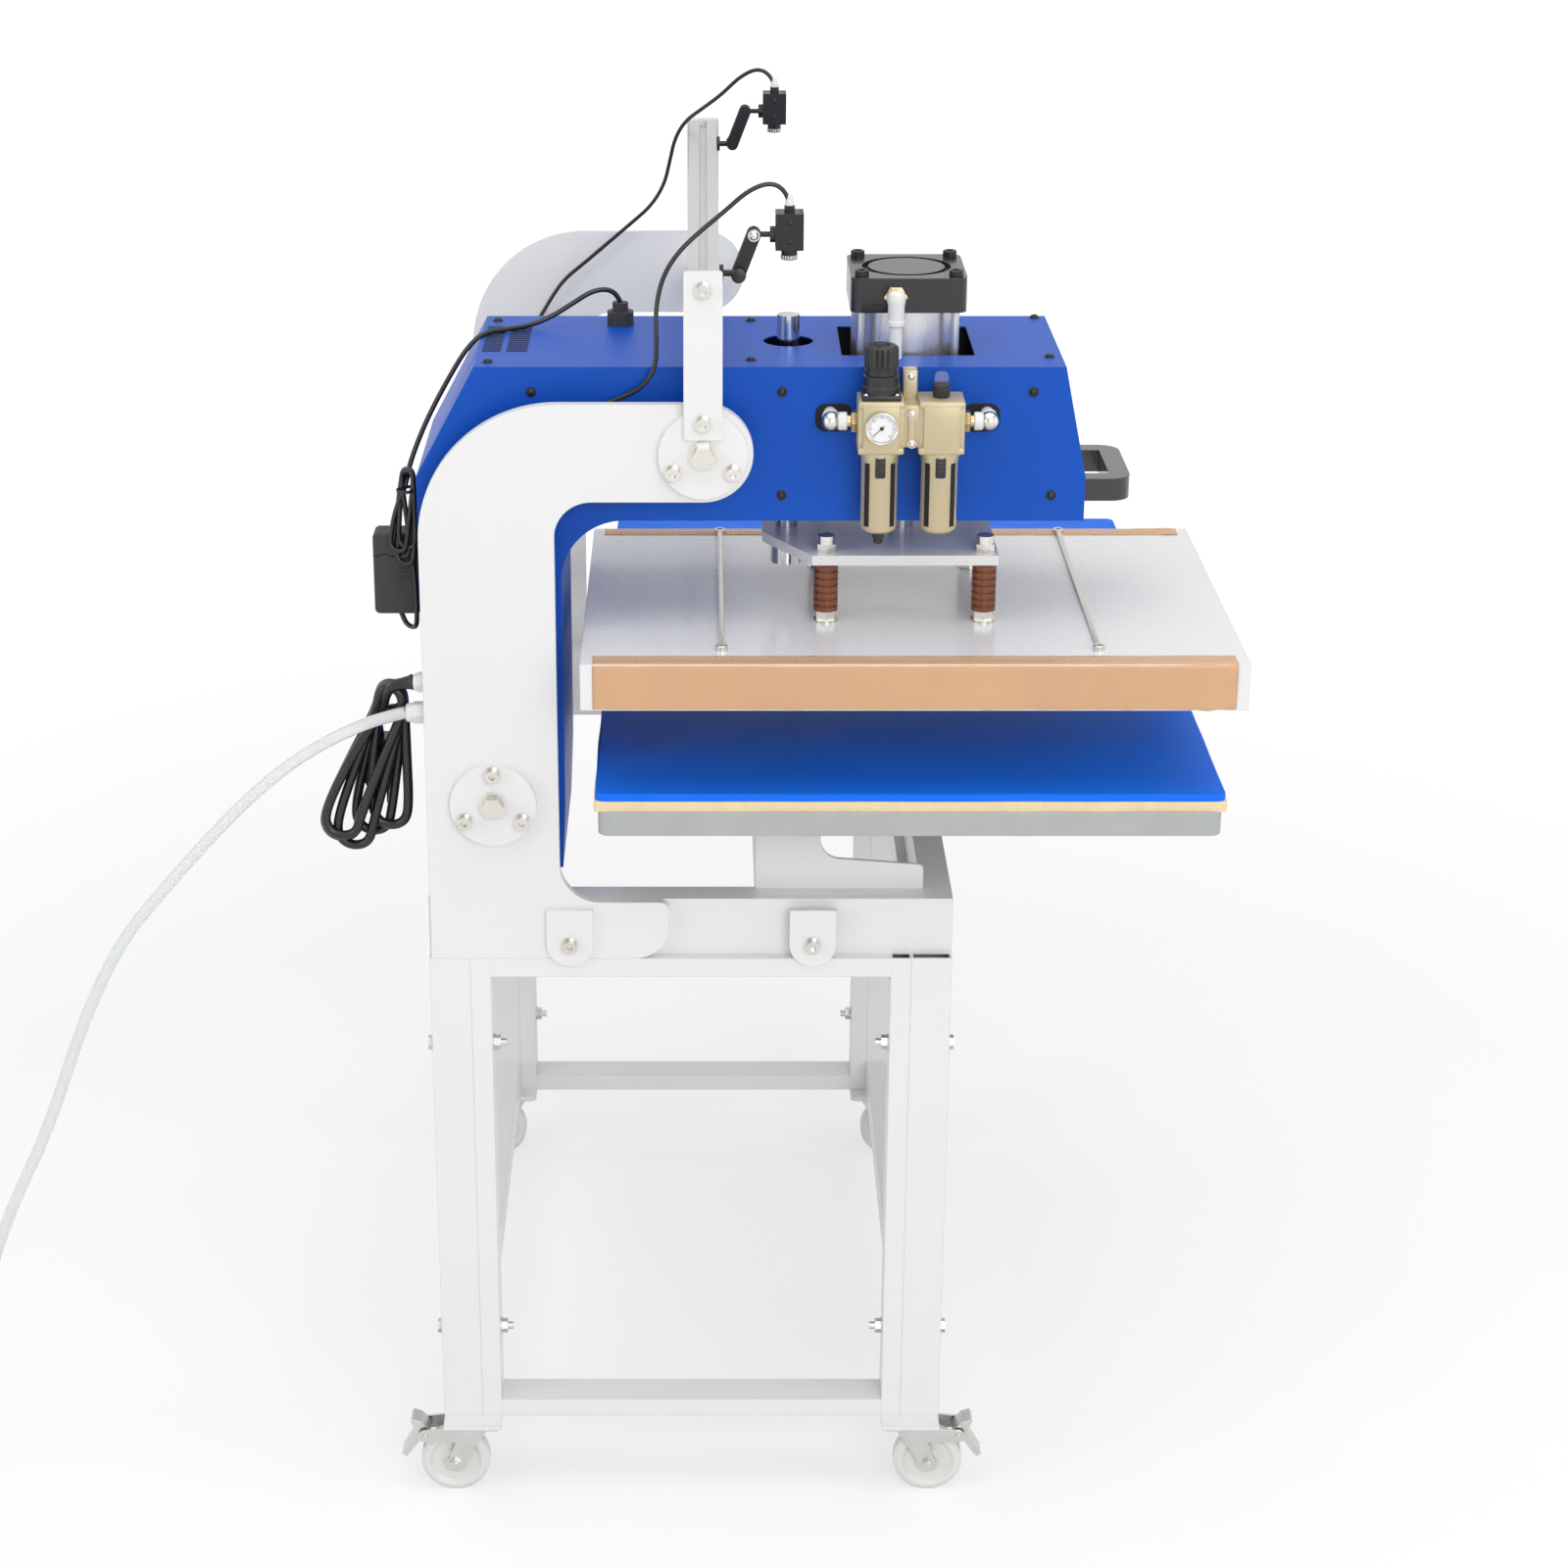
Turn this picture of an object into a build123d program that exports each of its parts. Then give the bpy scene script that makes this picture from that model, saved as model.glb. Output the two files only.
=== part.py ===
"""Dual station heat press: one heated head slides on two shafts between two lower tables.

X runs along the guide shafts, the operator stands at -Y, Z is up from the floor.
At rest the head is over the -X table with its press cylinder drawn up.
"""
import os
from math import cos, pi, radians, sin, tan

from build123d import *

# Stand
stand_length = 800.0
stand_width = 516.0
stand_mid_y = 106.0
stand_foot_z = 97.0
stand_height = 524.0
leg_size = 40.0
leg_wall = 2.0
end_tube_width = 20.0
end_tube_wall = 1.5
foot_plate_x = 80.0
foot_plate_y = 60.0
foot_plate_thickness = 5.0
frame_bolt_radius = 4.0
frame_bolt_heights = (194.0, 520.0)
hex_head_radius = 7.5
hex_head_thickness = 5.5
frame_washer_margin = 1.0
frame_bolt_end = 6.0

# Casters
caster_plate_thickness = 3.0
caster_plate_x = 74.0
caster_plate_y = 56.0
caster_race_radius = 21.0
caster_race_height = 8.0
swivel_gap = 0.5
swivel_pin_radius = 6.0
running_clearance = 0.05
wheel_radius = 36.0
wheel_width = 24.0
wheel_trail = 21.0
wheel_gap = 1.5
axle_radius = 4.0
fork_thickness = 2.5
fork_crown_radius = 22.0
fork_ear_reach = 52.0
fork_ear_z = 69.0
fork_ear_half_height = 7.0
pedal_pin_radius = 3.0
pedal_width = 22.0

# Base frame, side plates and shafts
base_height = 60.0
base_tube_width = 30.0
base_tube_wall = 2.0
side_plate_thickness = 10.0
lug_width = 46.0
lug_thickness = 6.0
lug_spacer_margin = 6.0
lug_rear_y = 225.0
lug_front_y = -14.0
lug_bolt_height = 17.0
upper_shaft_y = 94.0
upper_shaft_height = 454.0
lower_shaft_y = 297.0
lower_shaft_height = 105.0
shaft_radius = 20.0
arm_half_height = 47.0
column_inner_y = 234.0
column_rear_y = 362.0
column_outer_radius = 132.0
column_inner_radius = 35.0
foot_inner_radius = 40.0
foot_end_y = 127.0
foot_end_radius = 34.0
foot_corner_radius = 9.0
flange_radius = 42.0
flange_thickness = 8.0
flange_pitch_radius = 32.2
socket_screw_radius = 6.5
socket_screw_height = 7.0
socket_radius = 3.4
socket_depth = 4.0
washer_radius = 8.5
washer_thickness = 1.6
end_bolt_radius = 11.0
end_bolt_height = 8.0

# Laser posts and rail
post_width = 36.0
post_thickness = 5.0
post_rise = 174.0
rail_size = 30.0
rail_drop = 2.0
rail_slot = 8.0
rail_slot_depth = 6.0
laser_inset = 60.0
laser_clamp_reach = 14.0
laser_clamp_radius = 8.0
laser_link_length = 39.0
laser_link_lean = 21.0
laser_link_width = 13.0
laser_link_plate = 3.0
laser_stud_radius = 3.0
laser_body_size = 26.0
laser_body_height = 34.0
laser_stud_reach = 20.0
laser_eye_radius = 3.0
laser_link_gap = 0.4
laser_pin_end = 1.5
laser_lift = 4.0
laser_collar_radius = 7.5
laser_collar_length = 5.0
laser_barrel_radius = 7.5
laser_barrel_length = 10.0
laser_cap_radius = 5.0
laser_cap_height = 6.0
laser_fin_pitch = 8.0
laser_fin_gap = 3.0
laser_fin_depth = 4.0
laser_flange_thickness = 4.0

# Stations and lower tables
station_y = -103.0
pad_length_y = 600.0
pad_length_x = 400.0
pad_thickness = 7.5
pad_corner = 9.0
felt_thickness = 10.0
felt_margin = 1.5
tray_thickness = 24.0
tray_wall = 1.5
tray_inset = 3.0
tray_corner = 12.0
pedestal_rear_y = 38.0
pedestal_front_y = -124.0
pedestal_thickness = 4.0
pedestal_height = 96.0
pedestal_half_x = 104.0
pedestal_post_depth = 60.0
pedestal_arm_front = 25.0
pedestal_arm_rear = 33.0
pedestal_cut_radius = 20.0
middle_rail_height = 30.0

# Head
head_width = 210.0
head_end_clearance = 25.0
head_rise = 74.0
head_drop = 75.0
head_front_top_y = -245.0
head_front_y = -267.0
head_bend_drop = 32.0
head_rear_y = 365.0
head_rear_top_y = 308.0
head_column_y = 229.0
head_column_taper = 3.0
head_column_drop = 82.0
head_column_bend_drop = 16.0
head_column_bend_radius = 30.0
head_column_corner = 0.5
head_throat_radius = 60.0
cover_thickness = 1.5
carriage_plate = 10.0
carriage_inset = 14.0
carriage_margin = 3.0
carriage_floor_gap = 1.0
carriage_floor_margin = 20.0
guide_bush_wall = 8.0
guide_bush_height = 50.0
bearing_radius = 30.0
bearing_length = 60.0
shaft_hole_clearance = 3.0

# Cylinder and guide rod
cylinder_y = -100.0
cap_size = 110.0
cap_height = 33.0
cap_corner = 10.0
cap_rise = 72.5
lower_cap_lift = 15.0
cap_groove_depth = 6.0
cap_groove_width = 6.0
barrel_radius = 52.0
bore_radius = 50.0
tie_rod_pitch = 89.0
tie_rod_radius = 4.0
piston_radius = 49.6
piston_height = 20.0
piston_top_gap = 8.0
piston_rod_radius = 12.5
guide_rod_y = 12.0
guide_rod_radius = 11.0
guide_rod_rise = 26.0
guide_rod_foot_length = 26.0
guide_rod_foot_wall = 5.0
guide_rod_hole = 24.0
cutout_x = 120.0
cutout_y = 126.0

# Pressure plate, springs and upper platen
press_rest_gap = 35.5
plate_thickness = 10.0
plate_half_x = 102.0
plate_half_y = 89.0
plate_mid_y = -99.0
plate_nose_y = 36.0
plate_nose_half_x = 22.0
spring_pitch_x = 172.0
spring_pitch_y = 152.0
spring_radius = 11.8
spring_bore = 7.2
spring_coils = 7
spring_length = 48.5
spring_groove = 2.0
bolt_radius = 6.0
nut_radius = 10.0
nut_height = 8.0
dome_radius = 8.5
lower_nut_height = 11.0
platen_thickness = 46.0
platen_half_x = 220.0
platen_half_y = 311.5
sleeve_thickness = 0.8
sleeve_length_y = 600.0
sleeve_hem = 20.0

# Handle and air unit
handle_lift = 18.0
handle_reach = 50.0
handle_half_x = 62.0
handle_bar = 22.0
handle_bar_width = 20.0
air_unit_stand_off = 8.0
air_block = 43.0
air_block_height = 50.0
air_block_drop = 71.0
regulator_y = -70.6
lubricator_y = -126.6
bowl_radius = 17.5
bowl_height = 79.0
drain_radius = 5.5
drain_height = 12.0
collar_height = 22.0
knob_radius = 16.0
knob_height = 27.0
knob_gap = 0.3
knob_flutes = 12
knob_flute_radius = 1.6
spacer_width = 13.0
elbow_reach = 24.0
gauge_radius = 15.5
gauge_depth = 9.0
dome_cap_radius = 8.5
elbow_radius = 8.5
elbow_wall = 1.5
air_port_height = 27.0

# Cords and fittings
gland_height = 222.0
gland_radius = 10.0
gland_length = 11.0
inlet_height = 191.0
inlet_radius = 11.0
inlet_length = 19.0
fitting_inset = 20.5
fitting_bracket = 3.0
fitting_bracket_edge = 20.0
mains_radius = 4.75
hose_radius = 6.0
lead_radius = 2.2
adapter_cord_radius = 2.5
coil_radius = 66.0
coil_centre = (-318.0, 1080.0)
coupler_radius = 10.0
coupler_length = 46.0
mains_hank_x = -358.0
mains_hank_thickness = 28.0
plug_thickness = 24.0
adapter_inset = 39.0
adapter_thickness = 28.0
adapter_gap = 1.5
adapter_depth = 44.5
adapter_height = 81.0
adapter_drop = 63.0
adapter_edge = 1.5
adapter_corner = 5.0
adapter_hank_thickness = 14.0
socket_inset = 36.0
socket_y = 175.0
adapter_plug_radius = 13.0
adapter_plug_height = 22.0
laser_boot_clearance = 0.8

# Derived places of the stand and its base frame
stand_half_x = stand_length / 2
stand_rear_y = stand_mid_y + stand_width / 2
stand_front_y = stand_mid_y - stand_width / 2
stand_top_z = stand_foot_z + stand_height
base_top_z = stand_top_z + base_height
plate_outer_x = stand_half_x
plate_inner_x = stand_half_x - side_plate_thickness
lug_bolt_z = stand_top_z + lug_bolt_height
upper_shaft_z = base_top_z + upper_shaft_height
lower_shaft_z = base_top_z + lower_shaft_height
foot_plate_z = stand_foot_z - foot_plate_thickness
caster_plate_z = foot_plate_z - caster_plate_thickness
caster_race_z = caster_plate_z - caster_race_height
crown_top_z = caster_race_z - swivel_gap
caster_x = stand_half_x - leg_size / 2
caster_y = {"rear": stand_rear_y - foot_plate_y / 2, "front": stand_front_y + foot_plate_y / 2}

# Derived places of the laser rail
post_top_z = upper_shaft_z + post_rise
rail_top_z = post_top_z - rail_drop
rail_mid_z = rail_top_z - rail_size / 2
laser_x = stand_half_x - laser_inset

# Derived places of the lower tables
tray_bottom_z = base_top_z + pedestal_height
tray_top_z = tray_bottom_z + tray_thickness
felt_top_z = tray_top_z + felt_thickness

# Derived places of the head, which stops short of the side plates over each table
station_offset = plate_inner_x - head_end_clearance - head_width / 2
head_mid_x = -station_offset
head_near_x = head_mid_x - head_width / 2
head_far_x = head_mid_x + head_width / 2
head_top_z = upper_shaft_z + head_rise
head_bottom_z = upper_shaft_z - head_drop
head_bend_z = upper_shaft_z - head_bend_drop
head_column_bottom_z = lower_shaft_z - head_column_drop
head_column_bend_z = lower_shaft_z - head_column_bend_drop
cap_top_z = head_top_z + cap_rise
lower_cap_z = head_bottom_z + lower_cap_lift
guide_rod_top_z = head_top_z + guide_rod_rise
handle_z = head_bottom_z + handle_lift
air_block_bottom_z = head_top_z - air_block_drop

# Derived places of the press group, drawn up under the head
plate_top_z = head_bottom_z - press_rest_gap
plate_bottom_z = plate_top_z - plate_thickness
spring_bottom_z = plate_bottom_z - spring_length
platen_top_z = spring_bottom_z - lower_nut_height
platen_bottom_z = platen_top_z - platen_thickness

# Derived places of the fittings
gland_z = base_top_z + gland_height
inlet_z = base_top_z + inlet_height
fitting_x = -(stand_half_x - fitting_inset)
adapter_x = head_near_x + adapter_inset
adapter_front_y = head_rear_y + adapter_gap
adapter_rear_y = adapter_front_y + adapter_depth
adapter_high_z = head_bend_z - adapter_drop
adapter_low_z = adapter_high_z - adapter_height
socket_x = head_far_x - socket_inset

os.makedirs("parts", exist_ok=True)


def save(name, *pieces):
    """Write one node, which holds one solid or a group of separate ones."""
    if len(pieces) == 1:
        node = pieces[0]
        node.label = name
    else:
        node = Compound(label=name, children=list(pieces))
    export_step(node, f"parts/{name}.step")
    return node


def span_block(x0, x1, y0, y1, z0, z1):
    """Straight block between two corners."""
    with BuildPart() as block:
        with BuildSketch(Plane.XY.offset(z0)):
            with Locations(((x0 + x1) / 2, (y0 + y1) / 2)):
                Rectangle(x1 - x0, y1 - y0)
        extrude(amount=z1 - z0)
    return block.part


def tube_between(start, end, size_a, size_b, wall):
    """Rectangular tube along X, Y or Z from start to end, centred on that line."""
    run = Vector(*end) - Vector(*start)
    side = Vector(1, 0, 0) if abs(run.X) < abs(run.Y) + abs(run.Z) else Vector(0, 1, 0)
    with BuildPart() as tube:
        with BuildSketch(Plane(start, x_dir=side, z_dir=run.normalized())):
            Rectangle(size_a, size_b)
            Rectangle(size_a - 2 * wall, size_b - 2 * wall, mode=Mode.SUBTRACT)
        extrude(amount=run.length)
    return tube.part


# Side frames of the stand: legs, long rails and foot plates
def side_frame(mid_y, plate_mid_y_here):
    tubes = []
    low = stand_foot_z + leg_size / 2
    high = stand_top_z - leg_size / 2
    for end in (-1, 1):
        leg_x = end * caster_x
        foot, top = (leg_x, mid_y, stand_foot_z), (leg_x, mid_y, stand_top_z)
        tubes.append(tube_between(foot, top, leg_size, leg_size, leg_wall))
        tubes.append(
            span_block(
                leg_x - foot_plate_x / 2,
                leg_x + foot_plate_x / 2,
                plate_mid_y_here - foot_plate_y / 2,
                plate_mid_y_here + foot_plate_y / 2,
                foot_plate_z,
                stand_foot_z,
            )
        )
    rail_end = caster_x - leg_size / 2
    for height in (low, high):
        near_end, far_end = (-rail_end, mid_y, height), (rail_end, mid_y, height)
        tubes.append(tube_between(near_end, far_end, leg_size, leg_size, leg_wall))
    return tubes


rear_leg_y = stand_rear_y - leg_size / 2
front_leg_y = stand_front_y + leg_size / 2
save(
    "stand_side_frames",
    *side_frame(rear_leg_y, caster_y["rear"]),
    *side_frame(front_leg_y, caster_y["front"]),
)

# End frames of the stand, with the lugs that hold the base frame
end_rear_y = rear_leg_y - leg_size / 2
end_front_y = front_leg_y + leg_size / 2


def lug(end, place_y):
    """Round-topped plate that hooks the base frame onto the stand."""
    outer = end * plate_outer_x
    with BuildPart() as piece:
        with BuildSketch(Plane((outer, place_y, lug_bolt_z), x_dir=(0, 1, 0), z_dir=(end, 0, 0))):
            bottom = stand_top_z - end_tube_width - lug_bolt_z
            with Locations((0, bottom / 2)):
                Rectangle(lug_width, -bottom)
            Circle(lug_width / 2)
            Circle(frame_bolt_radius + 1.0, mode=Mode.SUBTRACT)
        extrude(amount=lug_thickness)
        if place_y < foot_end_y:
            # Spacer that fills the side plate's thickness beyond its foot
            with BuildSketch(Plane((outer, place_y, lug_bolt_z), x_dir=(0, 1, 0), z_dir=(-end, 0, 0))):
                Circle(lug_width / 2 - lug_spacer_margin)
                Circle(frame_bolt_radius + 1.0, mode=Mode.SUBTRACT)
                with Locations((0, -lug_width)):
                    Rectangle(lug_width, 2 * (lug_width - lug_bolt_z + stand_top_z), mode=Mode.SUBTRACT)
            extrude(amount=side_plate_thickness)
    return piece.part


end_pieces = []
for end in (-1, 1):
    mid_x = end * caster_x
    for upright_y in (end_rear_y - end_tube_width / 2, end_front_y + end_tube_width / 2):
        foot, top = (mid_x, upright_y, stand_foot_z), (mid_x, upright_y, stand_top_z)
        end_pieces.append(tube_between(foot, top, leg_size, end_tube_width, end_tube_wall))
    for height in (stand_foot_z + end_tube_width / 2, stand_top_z - end_tube_width / 2):
        end_pieces.append(
            tube_between(
                (mid_x, end_front_y + end_tube_width, height),
                (mid_x, end_rear_y - end_tube_width, height),
                leg_size,
                end_tube_width,
                end_tube_wall,
            )
        )
    for place_y in (lug_rear_y, lug_front_y):
        end_pieces.append(lug(end, place_y))
save("stand_end_frames", *end_pieces)


# Through bolts that join end frames to legs
def frame_bolt(x, z, outer_y, direction):
    """Hex bolt along Y with its head outside the leg and its nut inside the end frame."""
    grip = leg_size + end_tube_width
    with BuildPart() as bolt:
        with BuildSketch(Plane((x, outer_y, z), x_dir=(1, 0, 0), z_dir=(0, direction, 0))):
            RegularPolygon(hex_head_radius, 6)
        extrude(amount=hex_head_thickness)
        inside = Plane((x, outer_y - direction * grip, z), x_dir=(1, 0, 0), z_dir=(0, -direction, 0))
        with BuildSketch(inside):
            Circle(hex_head_radius + frame_washer_margin)
        extrude(amount=washer_thickness)
        with BuildSketch(inside):
            RegularPolygon(hex_head_radius, 6)
        extrude(amount=washer_thickness + hex_head_thickness)
        with BuildSketch(inside):
            Circle(frame_bolt_radius)
        extrude(amount=washer_thickness + hex_head_thickness + frame_bolt_end)
    return bolt.part


bolts = []
for end in (-1, 1):
    for height in frame_bolt_heights:
        bolts += frame_bolt(end * caster_x, height, stand_rear_y, 1).solids()
        bolts += frame_bolt(end * caster_x, height, stand_front_y, -1).solids()
save("frame_bolts", *bolts)

# Base frame: four mitred tubes on top of the stand, between the side plates
base_x = plate_inner_x
with BuildPart() as base_frame:
    with BuildSketch(Plane.XY.offset(stand_top_z)):
        with Locations((0, stand_mid_y)):
            Rectangle(2 * base_x, stand_width)
            Rectangle(2 * (base_x - base_tube_width), stand_width - 2 * base_tube_width, mode=Mode.SUBTRACT)
    extrude(amount=base_height)
    with BuildSketch(Plane.XY.offset(stand_top_z + base_tube_wall)):
        with Locations((0, stand_mid_y)):
            Rectangle(2 * (base_x - base_tube_wall), stand_width - 2 * base_tube_wall)
            Rectangle(
                2 * (base_x - base_tube_width + base_tube_wall),
                stand_width - 2 * (base_tube_width - base_tube_wall),
                mode=Mode.SUBTRACT,
            )
    extrude(amount=base_height - 2 * base_tube_wall, mode=Mode.SUBTRACT)
# Middle rail that carries the pedestals' rear walls
middle_rail = span_block(
    -(base_x - base_tube_width),
    base_x - base_tube_width,
    pedestal_rear_y + pedestal_thickness - base_tube_width,
    pedestal_rear_y + pedestal_thickness,
    base_top_z - middle_rail_height,
    base_top_z,
)
save("base_frame", base_frame.part.fuse(middle_rail))


# Side plates: C-shaped plates that carry both shafts
def side_plate(end):
    arm_top = upper_shaft_z + arm_half_height
    arm_low = upper_shaft_z - arm_half_height
    with BuildPart() as plate:
        with BuildSketch(Plane.YZ.offset(end * (plate_inner_x + plate_outer_x) / 2)):
            with BuildLine():
                FilletPolyline(
                    (upper_shaft_y, arm_top),
                    (column_rear_y, arm_top),
                    (column_rear_y, stand_top_z),
                    radius=column_outer_radius,
                )
                FilletPolyline(
                    (column_rear_y, stand_top_z),
                    (foot_end_y, stand_top_z),
                    (foot_end_y, base_top_z),
                    (column_inner_y, base_top_z),
                    (column_inner_y, arm_low),
                    (upper_shaft_y, arm_low),
                    radius=[foot_end_radius, foot_corner_radius, foot_inner_radius, column_inner_radius],
                )
                Line((upper_shaft_y, arm_low), (upper_shaft_y, arm_top))
            make_face()
            with Locations((upper_shaft_y, upper_shaft_z)):
                Circle(arm_half_height)
            with Locations((upper_shaft_y, upper_shaft_z), (lower_shaft_y, lower_shaft_z)):
                Circle(shaft_radius, mode=Mode.SUBTRACT)
            with Locations((lug_rear_y, lug_bolt_z)):
                Circle(frame_bolt_radius, mode=Mode.SUBTRACT)
        extrude(amount=side_plate_thickness / 2, both=True)
    return plate.part


save("near_side_plate", side_plate(-1))
save("far_side_plate", side_plate(1))

# Guide shafts, held between the flanges
shafts = []
for shaft_y, shaft_z in ((upper_shaft_y, upper_shaft_z), (lower_shaft_y, lower_shaft_z)):
    with BuildPart() as shaft:
        with BuildSketch(Plane.YZ.offset(-plate_outer_x)):
            with Locations((shaft_y, shaft_z)):
                Circle(shaft_radius)
        extrude(amount=2 * plate_outer_x)
    shafts.append(shaft.part)
save("guide_shafts", *shafts)


def x_disc(x, y, z, radius, length, sides=0):
    """Disc, or prism with a number of sides, that starts at x and runs by length along X."""
    with BuildPart() as disc:
        with BuildSketch(Plane.YZ.offset(x)):
            with Locations((y, z)):
                if sides:
                    RegularPolygon(radius, sides)
                else:
                    Circle(radius)
        extrude(amount=length)
    return disc.part


def socket_screw(x, y, z, end, stack=0.0):
    """Socket head screw and its washer, on a face at x that looks along end * X."""
    with BuildPart() as screw:
        with BuildSketch(Plane((x, y, z), x_dir=(0, 1, 0), z_dir=(end, 0, 0))):
            Circle(washer_radius)
        extrude(amount=washer_thickness + stack)
        with BuildSketch(Plane((x, y, z), x_dir=(0, 1, 0), z_dir=(end, 0, 0))):
            Circle(socket_screw_radius)
        extrude(amount=washer_thickness + stack + socket_screw_height)
        top = x + end * (washer_thickness + stack + socket_screw_height)
        with BuildSketch(Plane((top, y, z), x_dir=(0, 1, 0), z_dir=(-end, 0, 0))):
            RegularPolygon(socket_radius, 6)
        extrude(amount=socket_depth, mode=Mode.SUBTRACT)
    return screw.part


# Shaft flanges with their three screws and centre bolt, on the outer face of each side plate
flanges, screws, centre_bolts = [], [], []
flange_face_x = plate_outer_x + flange_thickness
end_bolt_length = washer_thickness + end_bolt_height
for end in (-1, 1):
    for shaft_y, shaft_z in ((upper_shaft_y, upper_shaft_z), (lower_shaft_y, lower_shaft_z)):
        flanges.append(x_disc(end * plate_outer_x, shaft_y, shaft_z, flange_radius, end * flange_thickness))
        centre_bolts.append(
            x_disc(end * flange_face_x, shaft_y, shaft_z, end_bolt_radius + 3.0, end * washer_thickness).fuse(
                x_disc(end * flange_face_x, shaft_y, shaft_z, end_bolt_radius, end * end_bolt_length, 6)
            )
        )
        for number in range(3):
            angle = radians(90 + 120 * number)
            on_post = shaft_y == upper_shaft_y and number == 0
            seat = flange_face_x + (post_thickness if on_post else 0.0)
            screws.append(
                socket_screw(
                    end * seat,
                    shaft_y + flange_pitch_radius * cos(angle),
                    shaft_z + flange_pitch_radius * sin(angle),
                    end,
                )
            )
    for place_y in (lug_rear_y, lug_front_y):
        screws.append(socket_screw(end * (plate_outer_x + lug_thickness), place_y, lug_bolt_z, end))
save("shaft_flanges", *flanges)

# Laser posts: flat bars with a curved foot, clamped over the upper flanges
post_face_x = flange_face_x
posts = []
for end in (-1, 1):
    with BuildPart() as post:
        with BuildSketch(Plane.YZ.offset(end * (post_face_x + post_thickness / 2))):
            foot_low = upper_shaft_z + end_bolt_radius + 5.0
            with Locations((upper_shaft_y, (foot_low + post_top_z) / 2)):
                RectangleRounded(post_width, post_top_z - foot_low, 3.0)
        extrude(amount=post_thickness / 2, both=True)
    posts.append(post.part)
    screws.append(socket_screw(end * (post_face_x + post_thickness), upper_shaft_y, rail_mid_z, end))
save("laser_posts", *posts)
save("plate_screws", *screws, *centre_bolts)

# Laser rail: square aluminium section with a slot along each side
with BuildPart() as laser_rail:
    with BuildSketch(Plane.YZ.offset(-post_face_x)):
        with Locations((upper_shaft_y, rail_mid_z)):
            Rectangle(rail_size, rail_size)
            Circle(3.5, mode=Mode.SUBTRACT)
        slot_middle = rail_size / 2 - rail_slot_depth / 2
        with Locations(
            (upper_shaft_y + slot_middle, rail_mid_z),
            (upper_shaft_y - slot_middle, rail_mid_z),
        ):
            Rectangle(rail_slot_depth, rail_slot, mode=Mode.SUBTRACT)
        with Locations(
            (upper_shaft_y, rail_mid_z + slot_middle),
            (upper_shaft_y, rail_mid_z - slot_middle),
        ):
            Rectangle(rail_slot, rail_slot_depth, mode=Mode.SUBTRACT)
    extrude(amount=2 * post_face_x)
save("laser_rail", laser_rail.part)

# Laser clamps, arms and pointers, one set over each station
rail_front_y = upper_shaft_y - rail_size / 2
link_low_y = rail_front_y - laser_clamp_reach - laser_clamp_radius / 2
link_low_z = rail_mid_z
link_high_y = link_low_y - laser_link_length * sin(radians(laser_link_lean))
link_high_z = link_low_z + laser_link_length * cos(radians(laser_link_lean))
laser_mid_y = link_high_y - laser_stud_reach - laser_body_size / 2
laser_mid_z = link_high_z + laser_lift


def laser_clamp(x):
    """Stud and flange in the rail's front slot, ending in an eye for the arm."""
    with BuildPart() as clamp:
        with BuildSketch(Plane((x, rail_front_y, rail_mid_z), x_dir=(1, 0, 0), z_dir=(0, -1, 0))):
            Circle(laser_clamp_radius)
        extrude(amount=laser_flange_thickness)
        with BuildSketch(Plane((x, rail_front_y, rail_mid_z), x_dir=(1, 0, 0), z_dir=(0, -1, 0))):
            Circle(laser_stud_radius)
        extrude(amount=laser_clamp_reach)
        with BuildSketch(Plane.YZ.offset(x)):
            with Locations((link_low_y, link_low_z)):
                Circle(laser_link_width / 2 - 1.0)
                Circle(laser_eye_radius + running_clearance, mode=Mode.SUBTRACT)
        extrude(amount=laser_stud_radius, both=True)
    return clamp.part


def laser_arm(x):
    """Two link plates with a pin at each end."""
    with BuildPart() as arm:
        for side in (-1, 1):
            inner = x + side * (laser_stud_radius + laser_link_gap)
            with BuildSketch(Plane.YZ.offset(inner + side * laser_link_plate / 2)):
                with BuildLine():
                    Line((link_low_y, link_low_z), (link_high_y, link_high_z))
                trace(line_width=laser_link_width)
                with Locations((link_low_y, link_low_z), (link_high_y, link_high_z)):
                    Circle(laser_link_width / 2)
            extrude(amount=laser_link_plate / 2, both=True)
        with BuildSketch(Plane.YZ.offset(x)):
            with Locations((link_low_y, link_low_z), (link_high_y, link_high_z)):
                Circle(laser_eye_radius)
        extrude(amount=laser_stud_radius + laser_link_gap + laser_link_plate + laser_pin_end, both=True)
    return arm.part


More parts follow.
